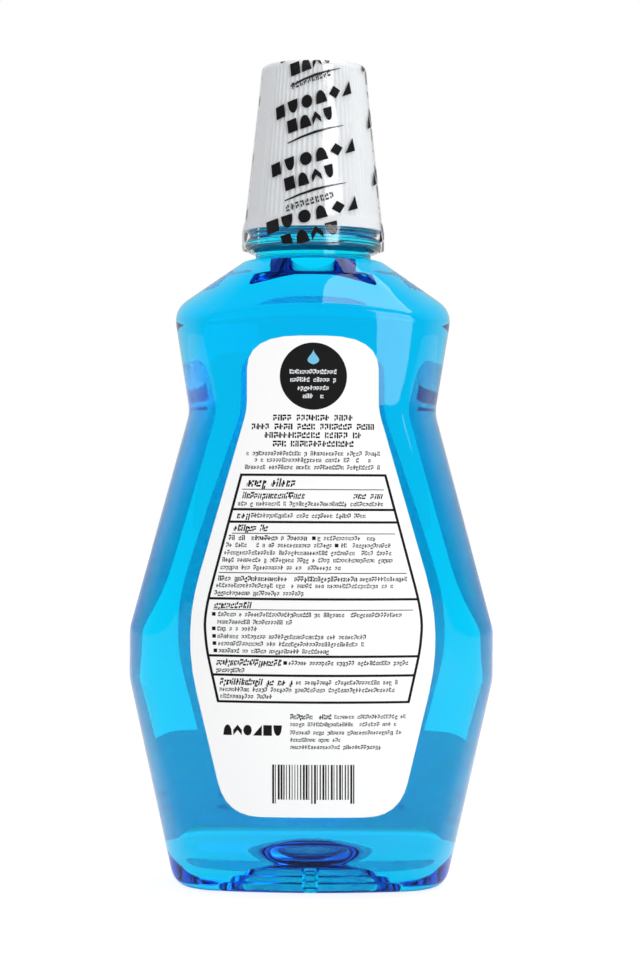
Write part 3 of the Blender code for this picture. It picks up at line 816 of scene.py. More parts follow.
    def body_stations(self) -> list[Station]:
        """The body's bends, from the innermost step of the base to the collar.

        Returns:
            The stations to loft through.
        """
        innermost = self.heel_bend + self.foot_band + (self.steps - 1) * self.step_run
        crown = self.foot_ring(innermost + self.step_slope, self.steps * self.step_rise)
        stations, dome_shares = [], (0.15, 0.4, 0.7)
        for share in dome_shares:
            dome = crown * (share, share, 1)
            dome[:, 2] += self.dome_rise * (1 - share * share)
            stations.append(Station(dome))
        for i in reversed(range(self.steps)):
            inset = self.heel_bend + self.foot_band + i * self.step_run
            upper = self.foot_ring(inset + self.step_slope, (i + 1) * self.step_rise)
            stations.append(Station(upper, self.step_bend))
            stations.append(Station(self.foot_ring(inset, i * self.step_rise), self.step_bend))
        stations.append(Station(self.foot_ring(0, 0), self.heel_bend, spacing=1 * MM))
        stations.append(Station(self.heel_ring(), self.heel_top_bend, spacing=0.9 * MM))
        for height in (self.lower_rise, self.belly):
            belly = self.panel_ring(self.belly_half_width, self.belly_crown, height)
            stations.append(Station(belly, self.belly_bend))
        waist = self.panel_ring(self.waist_half_width, self.waist_crown, self.waist)
        stations.append(Station(waist, self.waist_bend))
        chest, arch = self.shoulder - self.arch_drop, (self.arch_rise, self.arch_drop)
        edge = self.panel_ring(self.shoulder_half_width, self.shoulder_crown, chest, *arch)
        stations.append(Station(edge, self.crease_bend, self.shoulder_bend))
        collar = self.stem + self.collar_proud
        share = self.facet_rise / self.shoulder_rise
        side = self.shoulder_half_width + (collar - self.shoulder_half_width) * share
        facet = self.quarter(
            side, self.facet_inset, side - self.facet_half_width, self.facet_corner, flat=True
        )
        height = self.shoulder + self.facet_rise
        stations.append(Station(self.ring(facet, height), self.facet_bend, spacing=2.5 * MM))
        top = self.turn_ring(collar, self.collar)
        stations.append(Station(top, self.collar_bend, spacing=1.5 * MM))
        return stations

    def turn_ring(self, radius: float, height: float) -> np.ndarray:
        """A round ring with the body's columns."""
        return self.ring(self.round_quarter(radius), height)

    def neck_stations(self) -> list[Station]:
        """The neck's bends, from the stem over the bead and the flange to the land.

        Returns:
            The stations to loft through.
        """
        fine, coarse, edge = 0.25 * MM, 1 * MM, 0.3 * MM
        foot = self.bead - self.stem_rise
        corners = [(self.stem, foot, self.stem_bend, fine), (self.stem, self.bead, 0.0, fine)]
        for turn in np.linspace(0, math.pi, self.bead_steps + 1)[1:-1]:
            radius = self.stem + self.bead_proud * math.sin(turn)
            height = self.bead + self.bead_rise * (1 - math.cos(turn)) / 2
            corners.append((radius, height, 0.0, coarse))
        flange, under = self.stem + self.flange_proud, self.finish - self.flange_rise
        corners += [
            (self.stem, self.bead + self.bead_rise, 0.0, coarse),
            (flange, under, edge, coarse),
            (flange, self.finish, edge, coarse),
            (self.root, self.finish, edge, coarse),
            (self.root, self.land, edge, fine),
            (self.bore + edge, self.land, 0.0, coarse),
        ]
        return [Station(self.turn_ring(r, z), reach, spacing=gap) for r, z, reach, gap in corners]

    def side_share(self) -> np.ndarray:
        """0 over the middle of the width, rising in a straight line to 1 at the sides."""
        sideways = np.abs(self.foot_ring(0, 0)[:, 0]) / self.foot_half_width
        return np.clip((sideways - self.side_from) / (1 - self.side_from), 0, 1)[:, None]

    def notched(self, rows: np.ndarray, wall: float = 0.0) -> np.ndarray:
        """Press the index notches into the front and the back of the heel.

        Where the skin lies beyond the wedge, it is drawn in to it, fully within the notch's half
        width and not at all half a millimetre beside it. The wedge's depth goes from the foot's to
        its upper end's, and then runs out of the heel.

        Args:
            rows: The skin's points.
            wall: How far the notch is grown for the skin inside the wall.

        Returns:
            The skin with its notches.
        """
        x, y, z = (rows[..., i] for i in range(3))
        foot = self.half_depth * self.foot_depth_share
        bend = self.notch_height - self.notch_depth
        upper = foot + (self.half_depth - foot) * bend / self.heel_rise - self.notch_depth
        spare = 2 * MM
        heights = (-spare, bend, self.notch_height + wall)
        depths = (foot - self.notch_foot_depth - wall, upper - wall, self.half_depth + spare)
        limit = np.interp(z, heights, depths)
        blend = 0.5 * MM
        within = smooth((self.notch_half_width + wall + blend - np.abs(x)) / blend)
        cut = np.maximum(np.abs(y) - limit, 0) * within
        return np.stack((x, y - np.sign(y) * cut, z), axis=-1)

    def drawn_in(self, wall: float) -> np.ndarray:
        """The body's skin moved in square to itself by a wall, with its notches."""
        rows = loft(self.body_stations(), self.side_share())
        return self.notched(rows - normals(rows) * wall, wall)

    def dome(self) -> float:
        """Height of the middle of the push-up."""
        return self.steps * self.step_rise + self.dome_rise

    def build(self) -> None:
        """Make the bottle: the outside up to the land, then the bore and the inside back down.

        Faces under the level are wetted: outside they bend light as the rinse does, and inside,
        where rinse meets the wall, they hardly bend it.
        """
        rows = loft(self.body_stations() + self.neck_stations(), self.side_share())
        rows = self.notched(rows)
        thread = Thread(self.finish + self.thread_start, self.thread_turns, self.thread_depth)
        on_finish = (rows[..., 2] > self.finish) & (rows[..., 2] < self.land)
        rise = np.where(on_finish, thread.rise(rows), 0)[..., None]
        radial = rows * (1, 1, 0)
        rows = rows + radial / np.linalg.norm(radial, axis=-1, keepdims=True) * rise
        inner = self.drawn_in(self.wall)
        stem = self.bead - self.stem_rise
        bore = [
            Station(rows[-1]),
            Station(self.turn_ring(self.bore, self.land), self.lip_bend, spacing=1 * MM),
            Station(self.turn_ring(self.bore, stem), self.bore_bend, spacing=1.5 * MM),
            Station(inner[-1], spacing=1 * MM),
        ]
        down = np.concatenate((loft(bore)[1:], inner[-2::-1]))
        skin = Surface.skin(np.concatenate((rows, down)), self.dome(), self.dome() + self.wall)
        count, columns = len(rows) + len(down), rows.shape[1]
        middles = np.concatenate((rows, down))[..., 2].mean(axis=1)
        middles = (middles[1:] + middles[:-1]) / 2
        inside = np.arange(count - 1) >= len(rows) - 1
        finishes = [WET_PET, PET_INSIDE, DRY_PET]
        wet, within, dry = range(len(finishes))
        of_row = np.where(middles > self.level, dry, np.where(inside, within, wet))
        ends = np.repeat((wet, within), columns)
        choice = np.concatenate((np.repeat(of_row, columns), ends))
        bottle = skin.piece("bottle_wall", Body.BOTTLE, Slot.PET, finishes, choice)
        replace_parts(bottle, "bottle")


@dataclass(frozen=True)
class Rinse:
    """The liquid: the bottle's inside, up to its level in the neck."""

    bottle: Bottle
    gap: float = 0.02 * MM
    climb: float = 1.1 * MM
    climb_width: float = 1.6 * MM
    rings: int = 23
    crowding: float = 1.5

    def build(self) -> None:
        """Make the liquid.

        Its surface climbs the bore's wall: the rise falls off with the exponential of the way in.
        Its rings' radii are even shares raised to the crowding.
        """
        bottle = self.bottle
        rows = bottle.drawn_in(bottle.wall + self.gap)
        radius = bottle.bore - self.gap
        stem = bottle.bead - bottle.stem_rise
        column = loft([
            Station(rows[-1]),
            Station(bottle.turn_ring(radius, stem), bottle.bore_bend, spacing=1 * MM),
            Station(bottle.turn_ring(radius, bottle.level + self.climb), spacing=2 * MM),
        ])
        shares = np.linspace(1, 0, self.rings + 1)[1:-1] ** self.crowding
        rises = self.climb * np.exp((shares - 1) * radius / self.climb_width)
        top = [bottle.turn_ring(radius * s, bottle.level + z) for s, z in zip(shares, rises)]
        foot = bottle.dome() + bottle.wall + self.gap
        skin = Surface.skin(np.concatenate((rows, column[1:], top)), foot, bottle.level)
        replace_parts(skin.piece("rinse", Body.BOTTLE, Slot.RINSE, [RINSE]), "mouthwash")


# Cap, dosing cup and gasket


@dataclass(frozen=True)
class Cap:
    """The white outer shell, with fine upright ribs, a plain rim band, and the thread inside."""

    bottle: Bottle
    height: float = 52.4 * MM
    rim_wall: float = 1.15 * MM
    rim_flare: float = 0.5 * MM
    recess: float = 1 * MM
    recess_rise: float = 2.4 * MM
    rim_band: float = 3.2 * MM
    top_radius: float = 16 * MM
    round_reach: float = 2 * MM
    wall: float = 1.1 * MM
    ribs: int = 72
    rib_depth: float = 0.45 * MM
    rib_blend: float = 0.6 * MM
    columns_a_rib: int = 8
    gasket: float = 1.2 * MM
    cup_flange: float = 1 * MM
    cup_flange_reach: float = 0.8 * MM
    thread_turns: float = 1.25
    thread_depth: float = 0.9 * MM
    ledge_bite: float = 0.6 * MM
    edge_bend: float = 0.25 * MM

    @property
    def rim(self) -> float:
        """Height of the cap's rim."""
        return self.bottle.finish + CLEARANCE

    @property
    def bore(self) -> float:
        """Inner radius of the skirt, under its thread."""
        return self.bottle.root + self.bottle.thread_depth + 2 * CLEARANCE

    @property
    def rim_radius(self) -> float:
        """Outer radius of the rim."""
        return self.bore + self.recess + self.rim_wall + self.rib_depth

    @property
    def top(self) -> float:
        """Height of the cap's top."""
        return self.rim + self.height

    @property
    def flange(self) -> float:
        """Height of the underside of the dosing cup's flange."""
        return self.bottle.land + self.gasket + 2 * CLEARANCE

    @property
    def flange_radius(self) -> float:
        """Outer radius of the dosing cup's flange."""
        return self.bottle.root + self.cup_flange_reach

    def radius(self, height: float | np.ndarray) -> float | np.ndarray:
        """The ribs' crest radius at a height, on a straight taper from rim to top edge.

        Args:
            height: The height, or an array of them.

        Returns:
            The radius at each height.
        """
        share = (height - self.rim) / (self.height - self.round_reach)
        foot = self.rim_radius - self.rim_flare
        return foot + (self.top_radius - foot) * share

    def edge_arc(self, reach: float, end: float, steps: int = 8) -> np.ndarray:
        """The (radius, height) points round the top's edge, at a reach from its centre.

        Args:
            reach: The distance from the centre of the edge's rounding.
            end: The angle at which the arc ends, from level.
            steps: The number of its steps.

        Returns:
            The points, from the level one up.
        """
        turns = np.linspace(0, end, steps + 1)
        centre = np.array((self.top_radius - self.round_reach, self.top - self.round_reach))
        return centre + reach * np.column_stack((np.cos(turns), np.sin(turns)))

    def build(self) -> None:
        """Make the shell: the hollow from its ceiling down to the rim, then the outside back up.

        The ribs are a cosine round the axis that cuts between 0 and the rib depth into the taper,
        and that eases in over the blend at both ends.
        """
        turns = even_turns(self.ribs * self.columns_a_rib)
        ceiling = self.top - self.wall
        ledge = self.flange + self.cup_flange + CLEARANCE
        bore_top = self.flange - self.cup_flange
        flange_bore = self.flange_radius + CLEARANCE
        edge, ceiling_bend = self.edge_bend, 1 * MM
        inset = self.wall + self.rib_depth
        upper = outline([
            (edge, ceiling, 0),
            (float(self.radius(ceiling)) - inset, ceiling, ceiling_bend),
            (self.flange_radius - self.ledge_bite, ledge, edge),
            (flange_bore, ledge, edge),
            (flange_bore, bore_top, edge),
            (self.bore, bore_top, 0),
        ])
        low, high = self.rim + self.rim_band, self.top - self.round_reach
        recess, recessed = self.rim + self.recess_rise, self.bore + self.recess
        skirt = outline([(self.bore, bore_top, 0), (self.bore, recess, 0)], spacing=0.3 * MM)
        lower = outline([
            (self.bore, recess, 0),
            (recessed, recess, edge),
            (recessed, self.rim, edge),
            (self.rim_radius, self.rim, edge),
            (float(self.radius(low)), low, edge),
            (self.top_radius, high, 0),
        ], spacing=1 * MM)
        over = self.edge_arc(self.round_reach, math.pi / 2)[1:]
        dish = outline([(over[-1][0], self.top, 0), (edge, self.top, 0)])[1:]
        rows = turned(np.concatenate((upper, skirt[1:], lower[1:], over, dish)), turns)
        start = self.bottle.finish + self.bottle.thread_start + Thread.lead / 2
        thread = Thread(start, self.thread_turns, self.thread_depth)
        held = slice(len(upper), len(upper) + len(skirt) - 1)
        rise = np.zeros(rows.shape[:2])
        rise[held] = -thread.rise(rows[held])
        outside = slice(held.stop, None)
        height = rows[outside][..., 2]
        ease = smooth((height - low) / self.rib_blend) * smooth((high - height) / self.rib_blend)
        rise[outside] = -self.rib_depth * ease * (1 - np.cos(self.ribs * turns)) / 2
        rows[..., 0] += rise * np.sin(turns)
        rows[..., 1] -= rise * np.cos(turns)
        shell = Surface.skin(rows, ceiling, self.top)
        item = shell.piece("cap_outer", Body.CAP, Slot.CAP, [WHITE_PP], sharp=50.0)
        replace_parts(item, "cap_shell")


@dataclass(frozen=True)
class DosingCup:
    """The measuring cup in the cap, open downwards, with its flange, lip and fill line."""

    cap: Cap
    wall: float = 0.9 * MM
    bore_gap: float = 0.8 * MM
    lip: float = 7 * MM
    draft: float = 1.1 * MM
    round_reach: float = 1.5 * MM
    fill_depth: float = 33.4 * MM
    fill_proud: float = 0.25 * MM
    fill_rise: float = 0.8 * MM
    columns: int = 120

    def build(self) -> None:
        """Make the cup: its inside down to the mouth, then its outside up round the flange."""
        cap = self.cap
        mouth, top = cap.bottle.land - self.lip, cap.top - cap.wall - CLEARANCE
        radius = cap.bottle.bore - self.bore_gap

        def at(height: float) -> float:
            """The outer radius at a height, on a straight taper."""
            return radius - self.draft * (height - mouth) / (top - mouth)

        under, over = cap.flange, cap.flange + cap.cup_flange
        line = top - self.wall - self.fill_depth
        edge, inner = 0.2 * MM, at(line) - self.wall
        corners = [
            (edge, top - self.wall, 0),
            (at(top) - self.wall, top - self.wall, self.round_reach),
            (inner, line + self.fill_rise / 2, edge),
            (inner - self.fill_proud, line, edge),
            (inner, line - self.fill_rise / 2, edge),
            (radius - self.wall, mouth, edge),
            (radius, mouth, edge),
            (at(under), under, edge),
            (cap.flange_radius, under, edge),
            (cap.flange_radius, over, edge),
            (at(over), over, edge),
            (at(top), top, self.round_reach),
            (edge, top, 0),
        ]
        rows = turned(outline(corners, spacing=1.5 * MM), even_turns(self.columns))
        cup = Surface.skin(rows, top - self.wall, top)
        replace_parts(cup.piece("measuring_cup", Body.CAP, Slot.CUP, [NATURAL_PP]), "dosing_cup")


def dress_gasket() -> None:
    """Give the gasket's own solid its rubber."""
    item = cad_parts["sealing_ring"]
    item.data.materials.clear()
    item.data.materials.append(RUBBER.material())
    LOG.info("sealing_ring: keeps its solid")


# Neckband


@dataclass(frozen=True)
class Neckband:
    """The shrink film over cap and bead, with its tear strip, perforations and repeated print."""

    cap: Cap
    film: float = 0.2 * MM
    foot: float = 1.2 * MM
    curl_share: float = 0.55
    strip_from: float = math.radians(-87)
    strip_to: float = math.radians(-50)
    ripple: float = 0.045 * MM
    step: float = math.radians(1.5)
    perforation: float = 1.3 * MM
    print_radius: float = 19 * MM
    slope: float = math.radians(18)
    block_pitch: float = 18 * MM
    repeats: int = 3
    rim_bend: float = 0.8 * MM
    band_bend: float = 1 * MM
    tie: float = 0.45 * MM
    ink_height: float = 0.02 * MM
    print_across: float = -1.9 * MM
    print_up: float = 243 * MM
    blocks_over: int = 1
    blocks_under: int = 2
    small_across: float = -0.9 * MM
    small_up: tuple[float, float] = (251 * MM, 212.6 * MM)
    seed: int = 7

    @property
    def gap(self) -> float:
        """The turn between the strip and the sleeve."""
        return CLEARANCE / self.cap.rim_radius

    def line(self) -> np.ndarray:
        """The film's inner outline, from its foot over the rim and up the taper to its curl.

        Returns:
            The (radius, height) points.
        """
        cap = self.cap
        foot = cap.rim_radius + CLEARANCE
        band = cap.rim + cap.rim_band
        below = outline([
            (foot, cap.bottle.bead + self.foot, 0),
            (foot, cap.rim, self.rim_bend),
            (float(cap.radius(band)) + CLEARANCE, band, self.band_bend),
            (cap.top_radius + CLEARANCE, cap.top - cap.round_reach, 0),
        ], spacing=1.2 * MM)
        curl = cap.edge_arc(cap.round_reach + CLEARANCE, self.curl_share * math.pi / 2)
        return np.concatenate((below, curl[1:]))

    def lay(self, turn: np.ndarray, height: np.ndarray, proud: float) -> np.ndarray:
        """Points on the film at turns and heights, at a distance over its inner face.

        The radius is the outline's at that height, plus a faint ripple: a wide and a fine sine wave
        round the axis, whose phase drifts with the height. The wide one's also sways round it.

        Args:
            turn: Turns from the front.
            height: Heights.
            proud: The distance over the inner face.

        Returns:
            The points.
        """
        line = self.line()
        radius = np.interp(height, line[:, 1], line[:, 0]) + proud
        wide, fine, fine_share = 11, 23, 0.6
        sway, sways, wide_drift, fine_drift = 2, 3, 9 * MM, 4 * MM
        wave = np.sin(wide * turn + sway * np.sin(sways * turn) + height / wide_drift)
        wave = wave + fine_share * np.sin(fine * turn - height / fine_drift)
        radius = radius + self.ripple * (wave + 1)
        return np.stack((radius * np.sin(turn), -radius * np.cos(turn), height + 0 * turn), axis=-1)

    def sector(self, name: str, start: float, end: float, body: Body, node: str) -> None:
        """Make the film between two turns.

        Args:
            name: The piece's name.
            start: The first turn.
            end: The last turn.
            body: The body it rides on.
            node: The node it stands for.
        """
        turns = np.linspace(start, end, 2 + round((end - start) / self.step))
        height = self.line()[:, 1][:, None]
        grid = np.meshgrid(turns, height)
        film = Surface.slab(self.lay(*grid, self.film), self.lay(*grid, 0.0))
        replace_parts(film.piece(name, body, Slot.FILM, [FILM]), node)

    def ties(self) -> None:
        """Make the ties across both perforated lines: short bars at an even pitch."""
        line = self.line()
        heights = np.arange(line[0, 1] + self.perforation, line[-1, 1], self.perforation)
        cuts = []
        for turn in (self.strip_from - self.gap, self.strip_to):
            left = np.full(len(heights), turn - self.gap / 2)
            right = left + 2 * self.gap
            cuts.append(bars(np.column_stack((left, right, heights, heights + self.tie))))
        inner, outer = self.film / 2, 1.2 * self.film
        ties = Surface.patches(np.concatenate(cuts), self.lay, inner, outer)
        ties.piece("perforation_ties", Body.NECKBAND, Slot.FILM, [PALE_INK])

    def block(self, rng: np.random.Generator) -> list[np.ndarray]:
        """One block of the print: a long and a short row of heavy marks, and a brush stroke.

        Positions are (along, up) from the middle of the long row's foot, before the slope.

        Args:
            rng: Gives the marks their uneven widths.

        Returns:
            The marks' curves, as arrays of (patch, curve, point, 2).
        """
        tall, lean, narrow, wide = 4 * MM, 0.12, 0.66, 0.88
        long_row = [
            Shape.PEAK, Shape.SLAB, Shape.BOWL, Shape.DISC, Shape.DOME, Shape.KITE, Shape.RAMP,
        ]
        short_row = [Shape.SLAB, Shape.DOME, Shape.ROOF, Shape.BOWL]
        rows = []
        for left, right, foot, picks in (
            (-16.5, 17.5, 0, long_row), (-8.5, 8.2, -5.8, short_row),
        ):
            count = len(picks)
            edges = np.linspace(left, right, count + 1) * MM
            widths = np.diff(edges) * rng.uniform(narrow, wide, count)
            level = np.full(count, foot * MM)
            cells = np.column_stack((edges[:-1], edges[:-1] + widths, level, level + tall))
            rows.append(shapes(cells, picks, lean))
        half, reach = np.array((0.2, 0.32, 0.4, 0.24, 0.1)) * MM, 9.5
        level, swell = -8.6 * MM, 0.6 * MM
        along = np.linspace(-reach, reach, len(half)) * MM
        middle = level + swell * np.sin(np.linspace(0, math.pi, len(half)))
        lower, upper = ((along, middle + side * half) for side in (-1, 1))
        return rows + [np.stack((np.column_stack(lower), np.column_stack(upper)))[None]]

    def printed(self) -> None:
        """Lay the print: sloping blocks down the film and two small rows, repeated round it."""
        rng = np.random.default_rng(self.seed)
        heavy = []
        for i in range(-self.blocks_over, self.blocks_under + 1):
            height = self.print_up - i * self.block_pitch
            for part in self.block(rng):
                heavy.append(self.sloped(part, self.print_across, height))
        start, pitch, width, tall, count, lean = -7 * MM, 1.45 * MM, 0.95 * MM, 2 * MM, 10, 0.1
        edges, level = start + np.arange(count) * pitch, np.zeros(count)
        cells = np.column_stack((edges, edges + width, level, level + tall))
        small = [
            self.sloped(marks(cells, rng, lean), self.small_across, up) for up in self.small_up
        ]
        self.lay_marks("neckband_print", heavy, BLACK_INK)
        self.lay_marks("neckband_small_print", small, GREY_INK)

    def sloped(self, curves: np.ndarray, across: float, up: float) -> np.ndarray:
        """Turn curves by the print's slope, move them, and give them as (turn, height).

        Args:
            curves: The curves' (along, up) points.
            across: How far they are moved round the film.
            up: How far they are moved up.

        Returns:
            The curves' (turn, height) points.
        """
        along, over = curves[..., 0], curves[..., 1]
        cos, sin = math.cos(self.slope), math.sin(self.slope)
        turn = (across + along * cos - over * sin) / self.print_radius
        return np.stack((turn, up + along * sin + over * cos), axis=-1)

    def lay_marks(self, name: str, printed: list[np.ndarray], ink: Finish) -> None:
        """Lay marks on the sleeve, repeated round it.

        A mark that reaches the tear strip or its perforations is left out, because the film tears
        there. One that would lie beyond an end of the film is drawn in to it, and left out where
        that makes it flat.

        Args:
            name: The piece's name.
            printed: The marks' curves as (turn, height).
            ink: Their finish.
        """
        foot_margin, top_margin, flattest, widest = 0.4 * MM, 0.2 * MM, 0.15 * MM, 1.0
        line = self.line()
        low, high = line[0, 1] + foot_margin, line[-1, 1] - top_margin
        strip, top = self.strip_to - self.strip_from, self.film + self.ink_height
        inks = []
        for curves in printed:
            for i in range(self.repeats):
                laid = curves + (i * FULL_TURN / self.repeats, 0)
                laid[..., 0] = np.mod(laid[..., 0] - self.strip_from, FULL_TURN)
                laid[..., 1] = np.clip(laid[..., 1], low, high)
                first, last = laid[..., 0].min(axis=(1, 2)), laid[..., 0].max(axis=(1, 2))
                tall = np.ptp(laid[..., 1], axis=1).max(axis=1) >= flattest
                clear = (first > strip + self.gap) & (last < FULL_TURN - self.gap)
                kept = laid[tall & clear & (last - first < widest)]
                if len(kept):
                    kept[..., 0] += self.strip_from
                    inks.append(Surface.patches(kept, self.lay, self.film, top))
        Surface.joined(inks).piece(name, Body.NECKBAND, Slot.FILM, [ink])

    def build(self) -> None:
        """Make the sleeve, the strip, the ties and the print."""
        strip = (self.strip_from, self.strip_to)
        sleeve = (self.strip_to + self.gap, self.strip_from + FULL_TURN - self.gap)
        self.sector("film_sleeve", *sleeve, Body.NECKBAND, "neckband_sleeve")
        self.sector("film_tear_strip", *strip, Body.TEAR_STRIP, "neckband_tear_strip")
        self.ties()
        self.printed()


# Labels and their print


def bars(boxes: np.ndarray, steps: int = 1, lean: float = 0.0) -> np.ndarray:
    """Curves of upright or leaning bars.

    Args:
        boxes: Rows of (left, right, foot, top).
        steps: The number of faces along each bar.
        lean: How far the top is moved along, as a share of the height.

    Returns:
        The lower and upper curves, as (bar, curve, point, 2).
    """
    left, right, foot, top = (boxes[:, i, None] for i in range(4))
    along = left + (right - left) * np.linspace(0, 1, steps + 1)
    lower = np.stack((along, foot + 0 * along), axis=-1)
    upper = np.stack((along + lean * (top - foot), top + 0 * along), axis=-1)
    return np.stack((lower, upper), axis=1)


def marks(cells: np.ndarray, rng: np.random.Generator, lean: float = 0.0) -> np.ndarray:
    """Curves of greeked marks: each is three short strokes from one of a few plain patterns.

    A pattern's strokes are (left, right, foot, top), as shares of the cell.

    Args:
        cells: Rows of (left, right, foot, top).
        rng: Picks each cell's pattern.
        lean: How far the top is moved along, as a share of the height.

    Returns:
        The strokes' curves.
    """
    patterns = np.array((
        ((0.0, 0.38, 0.0, 1.0), (0.55, 1.0, 0.62, 0.95), (0.62, 1.0, 0.0, 0.36)),
        ((0.0, 0.38, 0.0, 0.62), (0.6, 1.0, 0.0, 1.0), (0.05, 0.5, 0.74, 1.0)),
        ((0.0, 0.5, 0.7, 1.0), (0.0, 0.36, 0.0, 0.42), (0.58, 1.0, 0.2, 1.0)),
        ((0.0, 1.0, 0.0, 0.28), (0.0, 0.36, 0.4, 0.8), (0.5, 1.0, 0.55, 1.0)),
        ((0.0, 1.0, 0.72, 1.0), (0.55, 1.0, 0.25, 0.6), (0.0, 0.42, 0.0, 0.5)),
        ((0.2, 0.6, 0.0, 1.0), (0.7, 1.0, 0.36, 0.72), (0.0, 0.15, 0.1, 0.6)),
    ))
    strokes = patterns[rng.integers(len(patterns), size=len(cells))]
    left, right, foot, top = (cells[:, i, None] for i in range(4))
    across = left[..., None] + (right - left)[..., None] * strokes[..., :2]
    up = foot[..., None] + (top - foot)[..., None] * strokes[..., 2:]
    across = across + lean * (up.mean(axis=-1, keepdims=True) - foot[..., None])
    return bars(np.concatenate((across, up), axis=-1).reshape(-1, 4), 1, lean)


def shapes(cells: np.ndarray, picks: list[Shape], lean: float = 0.0, steps: int = 12) -> np.ndarray:
    """Curves of heavy plain shapes.

    Each fills its cell between a lower and an upper height that depend on the share across.

    Args:
        cells: Rows of (left, right, foot, top).
        picks: Each cell's shape.
        lean: How far the top is moved along, as a share of the height.
        steps: The number of faces along each shape.

    Returns:
        The shapes' curves.
    """
    x = np.linspace(0, 1, steps + 1)
    off = np.abs(2 * x - 1)
    arch = np.sqrt(1 - off**2)
    flat = 0 * x
    kinds = np.array((
        ((1 - arch) / 2, (1 + arch) / 2),
        (flat, 0.08 + 0.92 * arch),
        (flat, 1.02 - off),
        (0.92 - 0.92 * arch, flat + 1),
        (0.5 - 0.5 * off, 1 - 0.5 * off),
        (flat, flat + 1),
        (flat, 0.04 + 0.96 * x),
        (0.49 * off, 1 - 0.49 * off),
    ))
    left, right, foot, top = (cells[:, i, None, None] for i in range(4))
    up = foot + (top - foot) * kinds[picks]
    return np.stack((left + (right - left) * x + lean * (up - foot), up), axis=-1)


def disc(across: float, up: float, radius: float, steps: int = 40) -> np.ndarray:
    """A round patch between the lower and the upper half of a circle.

    Args:
        across: Its middle across.
        up: Its middle's height.
        radius: Its radius.
        steps: The number of faces along it.

    Returns:
        The patch's curves.
    """
    end = 0.02
    turns = np.linspace(math.pi - end, end, steps + 1)
    x, z = across + radius * np.cos(turns), radius * np.sin(turns)
    return np.stack((np.column_stack((x, up - z)), np.column_stack((x, up + z))))[None]


def spread(edge: np.ndarray, across: float = 0.0, steps: int = 20) -> np.ndarray:
    """Strips that fill a shape which is even about its middle.

    Args:
        edge: Its right edge's (half width, height) points, from its foot up.
        across: Its middle.
        steps: The number of faces along each strip.

    Returns:
        The strips' curves, as (strip, curve, point, 2).
    """
    along = across + edge[:, :1] * np.linspace(-1, 1, steps + 1)
    rows = np.stack((along, edge[:, 1:] + 0 * along), axis=-1)
    return np.stack((rows[:-1], rows[1:]), axis=1)


def drop(across: float, up: float, height: float, steps: int = 20) -> np.ndarray:
    """A water drop.

    With s the share of the way down from its tip, half its width goes with the root of s, times
    the sine of half a turn of s to the power low, which is itself raised to blunt.

    Args:
        across: Its middle across.
        up: Its middle's height.
        height: Its height.
        steps: The number of its strips.

    Returns:
        The strips' curves.
    """
    end, width, low, blunt, columns = 0.005, 0.46, 1.7, 0.75, 8
    share = np.linspace(1 - end, end, steps + 1)
    half = width * height * np.sin(share**low * math.pi) ** blunt * np.sqrt(share)
    return spread(np.column_stack((half, up + height * (0.5 - share))), across, columns)


@dataclass(frozen=True)
class Style:
    """How a greeked row looks: its marks' height, pitch and stroke share, its lean and its ink."""

    height: float
    pitch: float
    stroke: float
    lean: float
    ink: Finish


class Lettering(Enum):
    """The kinds of greeked row on the labels."""

    TITLE = Style(2.6 * MM, 1.55 * MM, 0.86, 0.22, BLACK_INK)
    HEADING = Style(2 * MM, 1.2 * MM, 0.86, 0.22, BLACK_INK)
    CAPITALS = Style(1.8 * MM, 1.4 * MM, 0.84, 0.0, BLACK_INK)
    BOLD = Style(1.55 * MM, 1 * MM, 0.86, 0.0, BLACK_INK)
    PLAIN = Style(1.4 * MM, 0.92 * MM, 0.8, 0.0, GREY_INK)
    SMALL = Style(1.25 * MM, 0.88 * MM, 0.8, 0.0, GREY_INK)
    PALE = Style(1.4 * MM, 1 * MM, 0.84, 0.0, PALE_INK)


